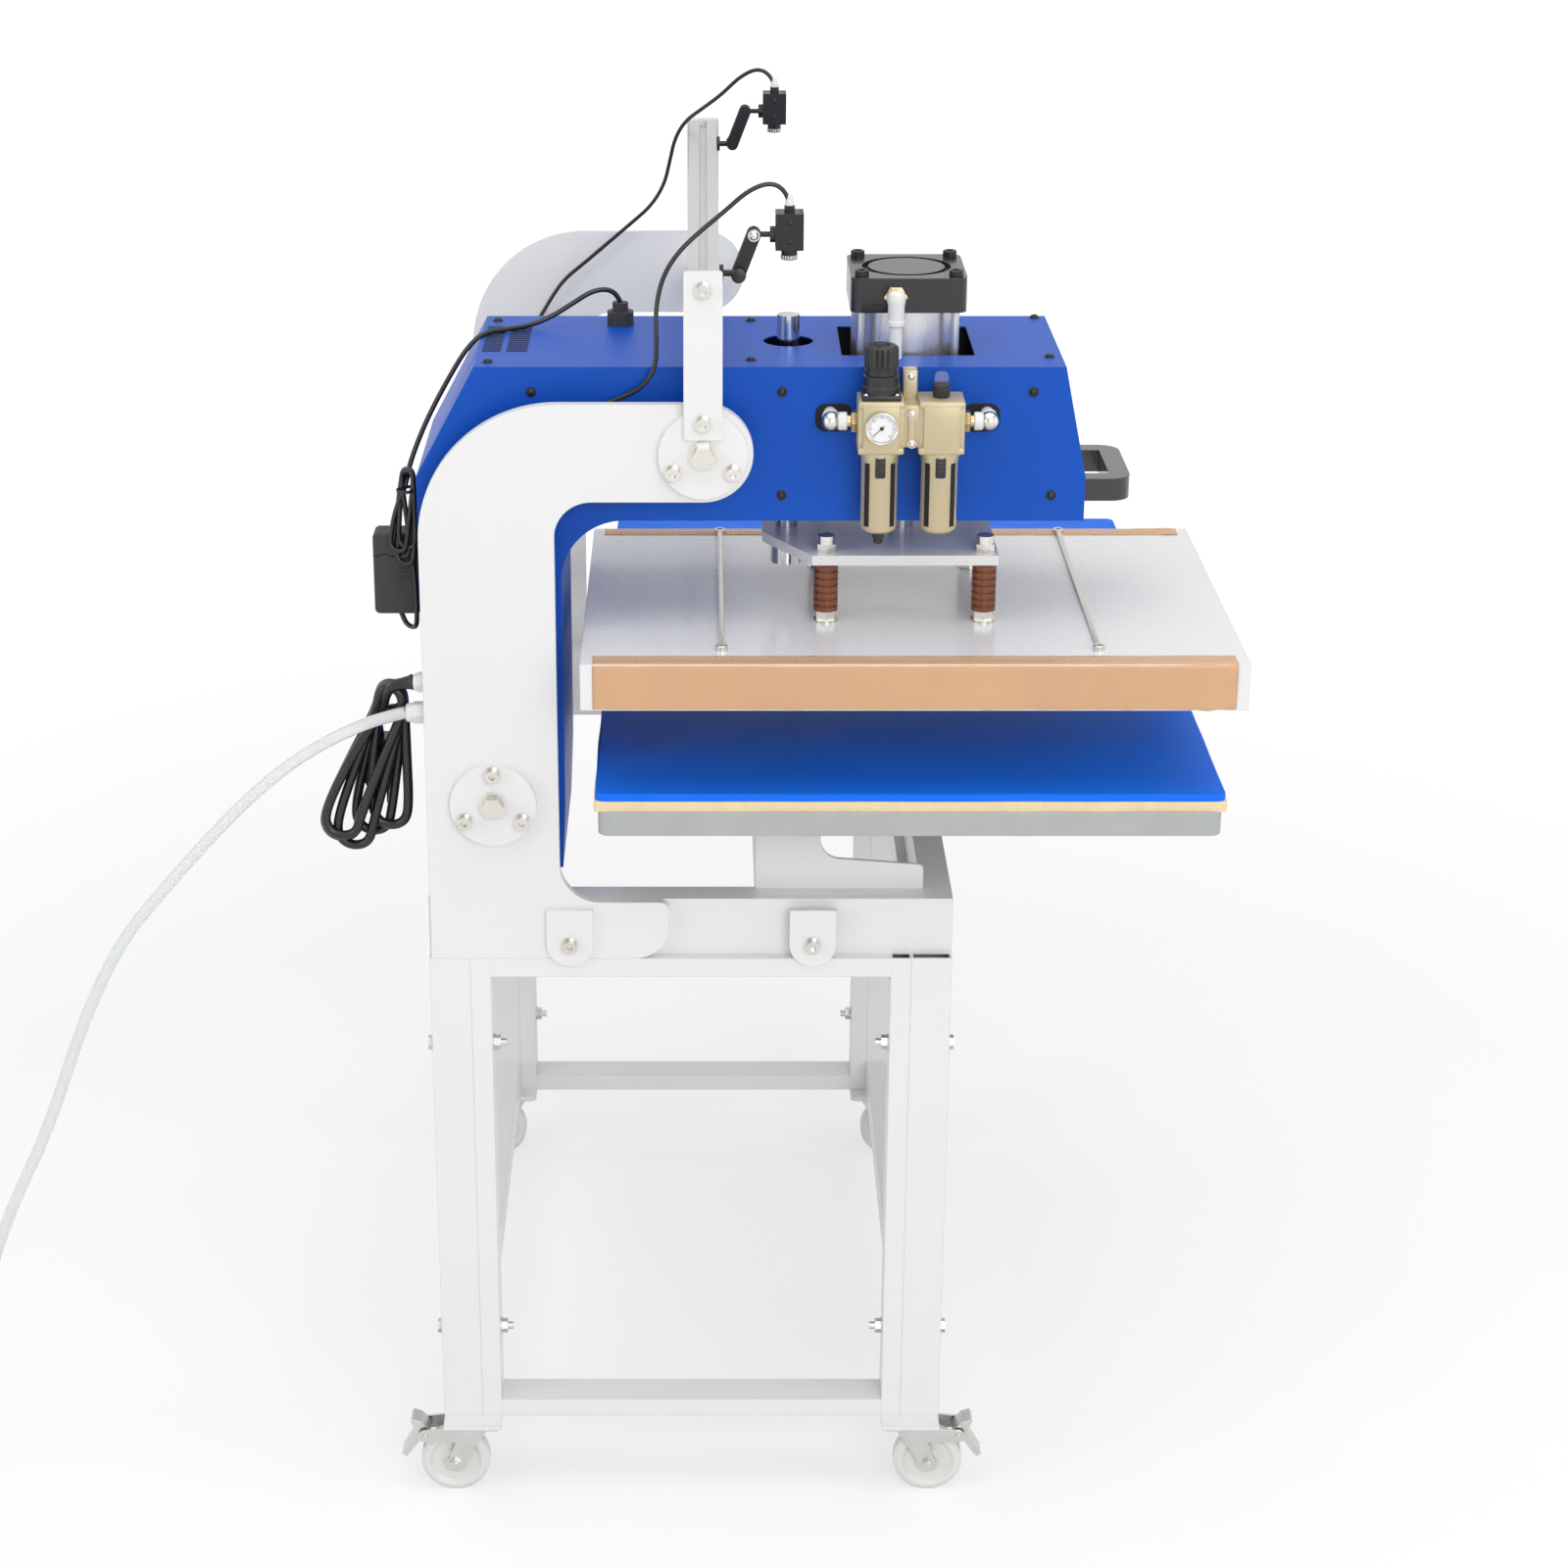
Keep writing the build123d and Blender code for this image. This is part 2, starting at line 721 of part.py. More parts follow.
def laser_pointer(x):
    """Finned block with a lens barrel below, on a stud that ends in an eye."""
    with BuildPart() as pointer:
        with BuildSketch(Plane.YZ.offset(x)):
            with Locations((link_high_y, link_high_z)):
                Circle(laser_link_width / 2 - 1.0)
                Circle(laser_eye_radius + running_clearance, mode=Mode.SUBTRACT)
        extrude(amount=laser_stud_radius, both=True)
        stud_start = link_high_y - laser_link_width / 2 + 1.5
        with BuildSketch(Plane((x, stud_start, link_high_z), x_dir=(1, 0, 0), z_dir=(0, -1, 0))):
            Circle(laser_stud_radius - 0.4)
        extrude(amount=laser_stud_reach)
        collar_y = link_high_y - laser_stud_reach + laser_collar_length
        with BuildSketch(Plane((x, collar_y, link_high_z), x_dir=(1, 0, 0), z_dir=(0, -1, 0))):
            Circle(laser_collar_radius)
        extrude(amount=laser_collar_length)
        with BuildSketch(Plane.XY.offset(laser_mid_z - laser_body_height / 2)):
            with Locations((x, laser_mid_y)):
                Rectangle(laser_body_size, laser_body_size)
                for step in (-1, 0, 1):
                    with Locations((step * laser_fin_pitch, (laser_fin_depth - laser_body_size) / 2)):
                        Rectangle(laser_fin_gap, laser_fin_depth, mode=Mode.SUBTRACT)
        extrude(amount=laser_body_height)
        with BuildSketch(Plane.XY.offset(laser_mid_z - laser_body_height / 2 - laser_barrel_length)):
            with Locations((x, laser_mid_y)):
                Circle(laser_barrel_radius)
        extrude(amount=laser_barrel_length)
        with BuildSketch(Plane.XY.offset(laser_mid_z + laser_body_height / 2)):
            with Locations((x, laser_mid_y)):
                Circle(laser_cap_radius)
        extrude(amount=laser_cap_height)
    return pointer.part


save("laser_clamps", laser_clamp(-laser_x), laser_clamp(laser_x))
for station, x in (("near", -laser_x), ("far", laser_x)):
    save(f"{station}_laser_arm", laser_arm(x))
    save(f"{station}_laser", laser_pointer(x))

# Lower tables: pedestal, tray, felt layer and silicone pad at each station
trays, felts, pads, pedestals = [], [], [], []
for end in (-1, 1):
    mid = (end * station_offset, station_y)
    with BuildPart() as pad:
        with BuildSketch(Plane.XY.offset(felt_top_z)):
            with Locations(mid):
                RectangleRounded(pad_length_x, pad_length_y, pad_corner)
        extrude(amount=pad_thickness)
    pads.append(pad.part)
    with BuildPart() as felt:
        with BuildSketch(Plane.XY.offset(tray_top_z)):
            with Locations(mid):
                RectangleRounded(pad_length_x + 2 * felt_margin, pad_length_y + 2 * felt_margin, pad_corner)
        extrude(amount=felt_thickness)
    felts.append(felt.part)
    with BuildPart() as tray:
        with BuildSketch(Plane.XY.offset(tray_bottom_z)):
            with Locations(mid):
                RectangleRounded(pad_length_x + 2 * tray_inset, pad_length_y - 2 * tray_inset, tray_corner)
        extrude(amount=tray_thickness)
        with BuildSketch(Plane.XY.offset(tray_bottom_z)):
            with Locations(mid):
                RectangleRounded(
                    pad_length_x + 2 * (tray_inset - tray_wall),
                    pad_length_y - 2 * (tray_inset + tray_wall),
                    tray_corner - tray_wall,
                )
        extrude(amount=tray_thickness - 2 * tray_wall, mode=Mode.SUBTRACT)
        # Cross channels that carry the tray on its pedestal
        with BuildSketch(Plane.XY.offset(tray_bottom_z)):
            for side in (-1, 1):
                with Locations((mid[0] + side * (pedestal_half_x - 15.0), station_y)):
                    Rectangle(30.0, pad_length_y - 2 * tray_inset - 2 * tray_wall)
        extrude(amount=tray_thickness - tray_wall)
    trays.append(tray.part)
    pedestal_walls = []
    for side in (-1, 1):
        wall_x = mid[0] + side * (pedestal_half_x - pedestal_thickness / 2)
        with BuildPart() as wall:
            with BuildSketch(Plane.YZ.offset(wall_x)):
                with BuildLine():
                    FilletPolyline(
                        (pedestal_rear_y, tray_bottom_z),
                        (pedestal_rear_y, base_top_z),
                        (pedestal_front_y, base_top_z),
                        (pedestal_front_y, base_top_z + pedestal_arm_front),
                        (pedestal_rear_y - pedestal_post_depth, base_top_z + pedestal_arm_rear),
                        (pedestal_rear_y - pedestal_post_depth, tray_bottom_z),
                        radius=[0, 0, 0, 6, pedestal_cut_radius, 0],
                        close=True,
                    )
                make_face()
            extrude(amount=pedestal_thickness / 2, both=True)
        pedestal_walls.append(wall.part)
    pedestals += pedestal_walls
    pedestals.append(
        span_block(
            mid[0] - pedestal_half_x,
            mid[0] + pedestal_half_x,
            pedestal_rear_y,
            pedestal_rear_y + pedestal_thickness,
            base_top_z,
            tray_bottom_z,
        )
    )
save("silicone_pads", *pads)
save("felt_layers", *felts)
save("lower_trays", *trays)
save("pedestals", *pedestals)


# Casters: top plate and race on the stand, fork with axle, wheel and brake pedal
def caster_plate(x, y):
    with BuildPart() as plate:
        with BuildSketch(Plane.XY.offset(caster_plate_z)):
            with Locations((x, y)):
                RectangleRounded(caster_plate_x, caster_plate_y, 4.0)
        extrude(amount=caster_plate_thickness)
        with BuildSketch(Plane.XY.offset(caster_race_z)):
            with Locations((x, y)):
                Circle(caster_race_radius)
        extrude(amount=caster_race_height)
        with BuildSketch(Plane.XY.offset(caster_race_z)):
            with Locations((x, y)):
                Circle(swivel_pin_radius + running_clearance)
        extrude(amount=caster_race_height - 1.0, mode=Mode.SUBTRACT)
    return plate.part


fork_inner = wheel_width / 2 + wheel_gap
fork_outer = fork_inner + fork_thickness


def caster_fork(x, y, out):
    """Swivel fork; out is +1 or -1 for the side that the wheel trails to along Y."""
    wheel_y = y + out * wheel_trail
    ear_y = y + out * fork_ear_reach
    with BuildPart() as fork:
        with BuildSketch(Plane.XY.offset(crown_top_z - fork_thickness)):
            with Locations((x, y)):
                Circle(fork_crown_radius)
        extrude(amount=fork_thickness)
        with BuildSketch(Plane.XY.offset(crown_top_z)):
            with Locations((x, y)):
                Circle(swivel_pin_radius)
        extrude(amount=caster_race_height - 2.0)
        for side in (-1, 1):
            with BuildSketch(Plane.YZ.offset(x + side * (fork_inner + fork_thickness / 2))):
                with BuildLine():
                    Polyline(
                        (y - out * 16.0, crown_top_z),
                        (y + out * 14.0, crown_top_z),
                        (ear_y, fork_ear_z + fork_ear_half_height),
                        (ear_y, fork_ear_z - fork_ear_half_height),
                        (y + out * 20.0, fork_ear_z - fork_ear_half_height),
                        (wheel_y + out * 8.5, wheel_radius),
                        (wheel_y - out * 8.5, wheel_radius),
                        (y - out * 16.0, crown_top_z),
                    )
                make_face()
                with Locations((wheel_y, wheel_radius)):
                    Circle(9.0)
                with Locations((ear_y, fork_ear_z)):
                    Circle(fork_ear_half_height)
                    Circle(pedal_pin_radius + running_clearance, mode=Mode.SUBTRACT)
            extrude(amount=fork_thickness / 2, both=True)
        with BuildSketch(Plane.YZ.offset(x - fork_outer - 5.0)):
            with Locations((wheel_y, wheel_radius)):
                Circle(axle_radius)
        extrude(amount=2 * fork_outer + 10.0)
        for side in (-1, 1):
            with BuildSketch(Plane((x + side * fork_outer, wheel_y, wheel_radius), z_dir=(side, 0, 0))):
                RegularPolygon(6.5, 6)
            extrude(amount=4.0)
    return fork.part


def caster_wheel(x, wheel_y):
    """Solid wheel with a crowned tread, dished sides and a hub."""
    half = wheel_width / 2
    with BuildPart() as wheel:
        with BuildSketch(Plane.XY):
            with BuildLine():
                Polyline(
                    (half, axle_radius + running_clearance),
                    (half, 10.0),
                    (half - 4.0, 13.0),
                    (half - 4.0, 24.0),
                    (half - 1.0, 28.0),
                    (half - 1.0, wheel_radius - 5.0),
                    (half - 5.0, wheel_radius),
                    (0.0, wheel_radius),
                    (0.0, axle_radius + running_clearance),
                    (half, axle_radius + running_clearance),
                )
            make_face()
            mirror(about=Plane.YZ)
        revolve(axis=Axis.X)
    return wheel.part.moved(Location((x, wheel_y, wheel_radius)))


def brake_pedal(x, y, out):
    """Rocker between the fork's ears: pin, two cheeks, tread and lower lever."""
    ear_y = y + out * fork_ear_reach
    half = pedal_width / 2
    with BuildPart() as pedal:
        with BuildSketch(Plane.YZ.offset(x)):
            with BuildLine():
                Polyline(
                    (ear_y - out * 5.0, fork_ear_z + 4.0),
                    (ear_y + out * 4.0, fork_ear_z + 15.0),
                    (ear_y + out * 13.0, fork_ear_z + 18.0),
                    (ear_y + out * 15.0, fork_ear_z + 15.0),
                    (ear_y + out * 9.0, fork_ear_z + 4.0),
                    (ear_y + out * 25.0, fork_ear_z - 24.0),
                    (ear_y + out * 20.0, fork_ear_z - 27.0),
                    (ear_y + out * 4.0, fork_ear_z - 5.0),
                    (ear_y - out * 5.0, fork_ear_z - 5.0),
                    (ear_y - out * 5.0, fork_ear_z + 4.0),
                )
            make_face()
        extrude(amount=half, both=True)
        with BuildSketch(Plane.YZ.offset(x - fork_outer - 1.5)):
            with Locations((ear_y, fork_ear_z)):
                Circle(pedal_pin_radius)
        extrude(amount=2 * fork_outer + 3.0)
    return pedal.part


caster_plates = []
for end, side_name in ((-1, "near"), (1, "far")):
    for row_name, out in (("rear", 1), ("front", -1)):
        x, y = end * caster_x, caster_y[row_name]
        caster_plates.append(caster_plate(x, y))
        where = f"{side_name}_{row_name}"
        save(f"caster_fork_{where}", caster_fork(x, y, out))
        save(f"caster_wheel_{where}", caster_wheel(x, y + out * wheel_trail))
        save(f"brake_pedal_{where}", brake_pedal(x, y, out))
save("caster_plates", *caster_plates)


# Head covers and carriage
def head_outline(inset):
    """Side view of the head, drawn inset from the covers' outer face."""
    throat = head_throat_radius + inset
    with BuildLine() as outline:
        FilletPolyline(
            (head_front_y + inset, head_bottom_z + inset),
            (head_column_y + inset, head_bottom_z + inset),
            (head_column_y + inset, head_column_bend_z),
            (head_column_y + head_column_taper + inset, head_column_bottom_z + inset),
            (head_rear_y - inset, head_column_bottom_z + inset),
            radius=[throat, head_column_bend_radius, head_column_corner],
        )
        Polyline(
            (head_rear_y - inset, head_column_bottom_z + inset),
            (head_rear_y - inset, head_bend_z - inset / 3),
            (head_rear_top_y - inset / 2, head_top_z - inset),
            (head_front_top_y + inset, head_top_z - inset),
            (head_front_y + inset, head_bend_z),
            (head_front_y + inset, head_bottom_z + inset),
        )
    return outline.line


shaft_hole_radius = shaft_radius + shaft_hole_clearance


def shaft_holes(radius, mode=Mode.SUBTRACT):
    with Locations((upper_shaft_y, upper_shaft_z), (lower_shaft_y, lower_shaft_z)):
        Circle(radius, mode=mode)


def side_cover(outer_x, inward):
    with BuildPart() as cover:
        with BuildSketch(Plane.YZ.offset(outer_x)):
            with BuildLine():
                add(head_outline(0.0))
            make_face()
            shaft_holes(shaft_hole_radius)
        extrude(amount=inward * cover_thickness)
    return cover.part


save("near_cover", side_cover(head_near_x, 1))
save("far_cover", side_cover(head_far_x, -1))

with BuildPart() as wrap_cover:
    with BuildSketch(Plane.YZ.offset(head_near_x + cover_thickness)):
        with BuildLine():
            add(head_outline(0.0))
        make_face()
        with BuildLine(mode=Mode.PRIVATE) as inner:
            add(head_outline(cover_thickness))
        add(make_face(inner.line.edges(), mode=Mode.PRIVATE), mode=Mode.SUBTRACT)
    extrude(amount=head_width - 2 * cover_thickness)
    with BuildSketch(Plane.XY.offset(head_top_z - 10.0)):
        with Locations((head_mid_x, guide_rod_y)):
            Circle(guide_rod_hole)
        with Locations((head_mid_x, cylinder_y)):
            RectangleRounded(cutout_x, cutout_y, 3.0)
    extrude(amount=20.0, mode=Mode.SUBTRACT)
    # Openings below for the piston rod and the guide rod
    with BuildSketch(Plane.XY.offset(head_bottom_z - 5.0)):
        with Locations((head_mid_x, cylinder_y)):
            Circle(piston_rod_radius + 12.0)
        with Locations((head_mid_x, guide_rod_y)):
            Circle(guide_rod_hole)
    extrude(amount=20.0, mode=Mode.SUBTRACT)
save("wrap_cover", wrap_cover.part)

# Carriage inside the covers: two side webs, floor under the cylinder and bearing tubes
web_inset = cover_thickness + carriage_margin
floor_top_z = lower_cap_z
floor_bottom_z = head_bottom_z + cover_thickness + carriage_floor_gap
web_near_x = head_near_x + carriage_inset
web_far_x = head_far_x - carriage_inset - carriage_plate
with BuildPart() as head_carriage:
    for web_x in (web_near_x, web_far_x):
        with BuildSketch(Plane.YZ.offset(web_x)):
            with BuildLine():
                add(head_outline(web_inset))
            make_face()
            shaft_holes(bearing_radius - 1.0)
        extrude(amount=carriage_plate)
    with BuildSketch(Plane.XY.offset(floor_bottom_z)):
        with Locations((head_mid_x, (cylinder_y + guide_rod_y) / 2)):
            Rectangle(web_far_x - web_near_x, cap_size + guide_rod_y - cylinder_y + carriage_floor_margin)
        with Locations((head_mid_x, cylinder_y)):
            Circle(piston_rod_radius + 3.0, mode=Mode.SUBTRACT)
        with Locations((head_mid_x, guide_rod_y)):
            Circle(guide_rod_radius + running_clearance, mode=Mode.SUBTRACT)
    extrude(amount=floor_top_z - floor_bottom_z)
    # Guide bush for the rod
    with BuildSketch(Plane.XY.offset(floor_top_z)):
        with Locations((head_mid_x, guide_rod_y)):
            Circle(guide_rod_radius + guide_bush_wall)
            Circle(guide_rod_radius + running_clearance, mode=Mode.SUBTRACT)
    extrude(amount=guide_bush_height)
    for bearing_x in (web_near_x, web_far_x + carriage_plate - bearing_length):
        with BuildSketch(Plane.YZ.offset(bearing_x)):
            shaft_holes(bearing_radius, Mode.ADD)
            shaft_holes(shaft_radius + running_clearance)
        extrude(amount=bearing_length)
save("head_carriage", head_carriage.part)

# Press cylinder: barrel with tie rods, and its two square end caps
barrel_bottom_z = lower_cap_z + cap_height
barrel_top_z = cap_top_z - cap_height
with BuildPart() as cylinder:
    with BuildSketch(Plane.XY.offset(barrel_bottom_z)):
        with Locations((head_mid_x, cylinder_y)):
            Circle(barrel_radius)
            Circle(bore_radius, mode=Mode.SUBTRACT)
            with GridLocations(tie_rod_pitch, tie_rod_pitch, 2, 2):
                Circle(tie_rod_radius)
    extrude(amount=barrel_top_z - barrel_bottom_z)
save("cylinder", *cylinder.part.solids())

caps = []
for cap_bottom, opening in ((lower_cap_z, piston_rod_radius + running_clearance), (barrel_top_z, 0.0)):
    with BuildPart() as cap:
        with BuildSketch(Plane.XY.offset(cap_bottom)):
            with Locations((head_mid_x, cylinder_y)):
                RectangleRounded(cap_size, cap_size, cap_corner)
                if opening:
                    Circle(opening, mode=Mode.SUBTRACT)
        extrude(amount=cap_height)
        if not opening:
            groove_radius = tie_rod_pitch / 2 - tie_rod_radius / 2
            with BuildSketch(Plane.XY.offset(cap_top_z - cap_groove_depth)):
                with Locations((head_mid_x, cylinder_y)):
                    Circle(groove_radius)
                    Circle(groove_radius - cap_groove_width, mode=Mode.SUBTRACT)
            extrude(amount=cap_groove_depth, mode=Mode.SUBTRACT)
    caps.append(cap.part)
save("cylinder_caps", *caps)

# Press group: piston and guide rods
piston_top_z = barrel_top_z - piston_top_gap
with BuildPart() as piston_rod:
    with BuildSketch(Plane.XY.offset(plate_top_z)):
        with Locations((head_mid_x, cylinder_y)):
            Circle(piston_rod_radius)
    extrude(amount=piston_top_z - plate_top_z)
    with BuildSketch(Plane.XY.offset(piston_top_z - piston_height)):
        with Locations((head_mid_x, cylinder_y)):
            Circle(piston_radius)
    extrude(amount=piston_height)
with BuildPart() as guide_rod:
    with BuildSketch(Plane.XY.offset(plate_bottom_z - guide_rod_foot_length)):
        with Locations((head_mid_x, guide_rod_y)):
            Circle(guide_rod_radius + guide_rod_foot_wall)
    extrude(amount=guide_rod_foot_length)
    with BuildSketch(Plane.XY.offset(plate_top_z)):
        with Locations((head_mid_x, guide_rod_y)):
            Circle(guide_rod_radius)
    extrude(amount=guide_rod_top_z - plate_top_z)
save("press_rods", piston_rod.part, guide_rod.part)

with BuildPart() as pressure_plate:
    with BuildSketch(Plane.XY.offset(plate_bottom_z)):
        rear = plate_mid_y + plate_half_y
        front = plate_mid_y - plate_half_y
        with BuildLine():
            Polyline(
                (head_mid_x - plate_half_x, front),
                (head_mid_x + plate_half_x, front),
                (head_mid_x + plate_half_x, rear),
                (head_mid_x + plate_nose_half_x, plate_nose_y),
                (head_mid_x - plate_nose_half_x, plate_nose_y),
                (head_mid_x - plate_half_x, rear),
                (head_mid_x - plate_half_x, front),
            )
        make_face()
        with Locations((head_mid_x, cylinder_y)):
            with GridLocations(spring_pitch_x, spring_pitch_y, 2, 2):
                Circle(bolt_radius + 0.5, mode=Mode.SUBTRACT)
    extrude(amount=plate_thickness)
save("pressure_plate", pressure_plate.part)

# Spring bolts with nuts, and die springs between the pressure plate and the platen
spring_bolts, springs = [], []
coil_pitch = spring_length / spring_coils
for side_x in (-1, 1):
    for side_y in (-1, 1):
        x = head_mid_x + side_x * spring_pitch_x / 2
        y = cylinder_y + side_y * spring_pitch_y / 2
        with BuildPart() as bolt:
            with BuildSketch(Plane.XY.offset(platen_top_z)):
                with Locations((x, y)):
                    Circle(nut_radius + 2.0)
            extrude(amount=2.0)
            with BuildSketch(Plane.XY.offset(platen_top_z)):
                with Locations((x, y)):
                    RegularPolygon(nut_radius, 6)
            extrude(amount=lower_nut_height)
            with BuildSketch(Plane.XY.offset(platen_top_z)):
                with Locations((x, y)):
                    Circle(bolt_radius)
            extrude(amount=plate_top_z - platen_top_z)
            with BuildSketch(Plane.XY.offset(plate_top_z)):
                with Locations((x, y)):
                    RegularPolygon(nut_radius, 6)
            extrude(amount=nut_height)
            with BuildSketch(Plane.XY.offset(plate_top_z + nut_height)):
                with Locations((x, y)):
                    Circle(dome_radius)
            extrude(amount=nut_height)
        spring_bolts.append(bolt.part)
        with BuildPart() as spring:
            with BuildSketch(Plane.XZ):
                with BuildLine():
                    points = [(spring_bore, spring_bottom_z)]
                    for coil in range(spring_coils):
                        low = spring_bottom_z + coil * coil_pitch
                        points += [
                            (spring_radius, low),
                            (spring_radius, low + 0.62 * coil_pitch),
                            (spring_radius - spring_groove, low + 0.64 * coil_pitch),
                            (spring_radius - spring_groove, low + 0.98 * coil_pitch),
                        ]
                    points += [(spring_bore, plate_bottom_z), (spring_bore, spring_bottom_z)]
                    Polyline(*points)
                make_face()
            revolve(axis=Axis.Z)
        springs.append(spring.part.moved(Location((x, y, 0))))
save("spring_bolts", *spring_bolts)
save("press_springs", *springs)

# Upper platen and the fabric sleeve round it
core_bottom_z = platen_bottom_z + sleeve_thickness
core_half_x = platen_half_x - sleeve_thickness
with BuildPart() as upper_platen:
    with BuildSketch(Plane.XY.offset(core_bottom_z)):
        with Locations((head_mid_x, station_y)):
            Rectangle(2 * core_half_x, 2 * platen_half_y)
    extrude(amount=platen_top_z - core_bottom_z)
save("upper_platen", upper_platen.part)

with BuildPart() as platen_sleeve:
    hem_top = platen_top_z + sleeve_thickness
    with BuildSketch(Plane.XZ.offset(-station_y)):
        with Locations((head_mid_x, (platen_bottom_z + hem_top) / 2)):
            Rectangle(2 * platen_half_x, hem_top - platen_bottom_z)
            Rectangle(2 * core_half_x, platen_top_z - core_bottom_z, mode=Mode.SUBTRACT)
        with Locations((head_mid_x, platen_top_z + sleeve_thickness / 2)):
            Rectangle(2 * (platen_half_x - sleeve_hem), sleeve_thickness, mode=Mode.SUBTRACT)
    extrude(amount=sleeve_length_y / 2, both=True)
save("platen_sleeve", platen_sleeve.part)

# Front handle: two arms and a grip bar
with BuildPart() as head_handle:
    arm_half = handle_half_x - handle_bar_width / 2
    with BuildSketch(Plane.XY.offset(handle_z - handle_bar / 2)):
        with BuildLine():
            FilletPolyline(
                (head_mid_x - arm_half, head_front_y),
                (head_mid_x - arm_half, head_front_y - handle_reach + handle_bar_width / 2),
                (head_mid_x + arm_half, head_front_y - handle_reach + handle_bar_width / 2),
                (head_mid_x + arm_half, head_front_y),
                radius=handle_bar_width / 2,
            )
        trace(line_width=handle_bar_width)
    extrude(amount=handle_bar)
    with BuildSketch(Plane.XZ.offset(-head_front_y)):
        with Locations((head_mid_x, handle_z)):
            Rectangle(3 * handle_half_x, handle_bar * 2)
    extrude(amount=-60.0, mode=Mode.SUBTRACT)
save("head_handle", head_handle.part)

# Air unit: regulator and lubricator blocks with their bowls, spacer, bracket and elbows
air_face_x = head_near_x - air_unit_stand_off
air_mid_x = air_face_x - air_block / 2
air_block_top_z = air_block_bottom_z + air_block_height
air_port_z = air_block_bottom_z + air_port_height
with BuildPart() as air_unit:
    for block_y in (regulator_y, lubricator_y):
        with BuildSketch(Plane.XY.offset(air_block_bottom_z)):
            with Locations((air_mid_x, block_y)):
                RectangleRounded(air_block, air_block, 3.0)
        extrude(amount=air_block_height)
        with BuildSketch(Plane.XY.offset(air_block_bottom_z - bowl_height)):
            with Locations((air_mid_x, block_y)):
                Circle(bowl_radius)
        extrude(amount=bowl_height)
    with BuildSketch(Plane.XY.offset(air_block_bottom_z - bowl_height - drain_height)):
        with Locations((air_mid_x, regulator_y)):
            Circle(drain_radius)
    extrude(amount=drain_height)
    with BuildSketch(Plane.XY.offset(air_block_bottom_z + 5.0)):
        with Locations((air_mid_x, (regulator_y + lubricator_y) / 2)):
            Rectangle(air_block - 8.0, spacer_width + 2.0)
    extrude(amount=air_block_height - 8.0)
    # Bracket to the near cover
    with BuildSketch(Plane.XY.offset(air_block_bottom_z + 12.0)):
        with Locations(((air_face_x + head_near_x) / 2 - 4.0, (regulator_y + lubricator_y) / 2)):
            Rectangle(air_unit_stand_off + 8.0, spacer_width)
    extrude(amount=air_block_height + 12.0)
    # Elbows to the two openings in the cover
    for block_y, out in ((regulator_y, 1), (lubricator_y, -1)):
        elbow_run = air_block / 2 + elbow_reach
        elbow_y = block_y + out * elbow_run
        with BuildSketch(Plane.XZ.offset(-block_y)):
            with Locations((air_mid_x, air_port_z)):
                Circle(elbow_radius)
        extrude(amount=-out * elbow_run)
        elbow_back_x = air_mid_x - elbow_radius - elbow_wall
        with BuildSketch(Plane.YZ.offset(elbow_back_x)):
            with Locations((elbow_y, air_port_z)):
                Circle(elbow_radius + elbow_wall)
        extrude(amount=head_near_x - elbow_back_x)
    # Gauge
    with BuildSketch(Plane.YZ.offset(air_mid_x - air_block / 2 - gauge_depth)):
        with Locations((regulator_y, air_port_z)):
            Circle(gauge_radius)
    extrude(amount=gauge_depth + 2.0)
    # Collar under the knob, and the sight dome
    with BuildSketch(Plane.XY.offset(air_block_top_z)):
        with Locations((air_mid_x, regulator_y)):
            Circle(knob_radius + 2.0)
    extrude(amount=collar_height)
    with BuildSketch(Plane.XY.offset(air_block_top_z)):
        with Locations((air_mid_x, lubricator_y)):
            Circle(dome_cap_radius)
    extrude(amount=24.0)
save("air_unit", air_unit.part)

with BuildPart() as regulator_knob:
    with BuildSketch(Plane.XY.offset(air_block_top_z + collar_height + knob_gap)):
        with Locations((air_mid_x, regulator_y)):
            Circle(knob_radius)
            with PolarLocations(knob_radius, knob_flutes):
                Circle(knob_flute_radius, mode=Mode.SUBTRACT)
    extrude(amount=knob_height)
save("regulator_knob", regulator_knob.part)

# Cable gland and air inlet on a bracket behind the near side plate
bracket_reach = fitting_x + plate_inner_x
with BuildPart() as bracket:
    with BuildSketch(Plane.XY.offset(inlet_z - fitting_bracket_edge)):
        with Locations((fitting_x, column_rear_y - fitting_bracket / 2)):
            Rectangle(2 * bracket_reach, fitting_bracket)
    extrude(amount=gland_z - inlet_z + 2 * fitting_bracket_edge)


def rear_fitting(z, radius, length):
    """Hexagonal body on the bracket's rear face with a rounded nose."""
    with BuildPart() as fitting:
        with BuildSketch(Plane((fitting_x, column_rear_y, z), x_dir=(1, 0, 0), z_dir=(0, 1, 0))):
            RegularPolygon(radius, 6)
        extrude(amount=length * 0.6)
        with BuildSketch(Plane((fitting_x, column_rear_y, z), x_dir=(1, 0, 0), z_dir=(0, 1, 0))):
            Circle(radius * 0.85)
        extrude(amount=length)
        fillet(fitting.edges().group_by(Axis.Y)[-1], radius * 0.3)
    return fitting.part


save(
    "inlet_fittings",
    bracket.part,
    rear_fitting(gland_z, gland_radius, gland_length),
    rear_fitting(inlet_z, inlet_radius, inlet_length),
)


# Cords: tubes along straight runs joined by tangent arcs
def corner_radii(points):
    """Radius at each inner point: 0.45 of the shorter run over the tangent of half the turn."""
    spots = [Vector(*point) for point in points]
    radii = []
    for before, here, after in zip(spots, spots[1:], spots[2:]):
        one, two = here - before, after - here
        turn = radians(one.get_angle(two))
        radii.append(0.45 * min(one.length, two.length) / tan(turn / 2))
    return radii


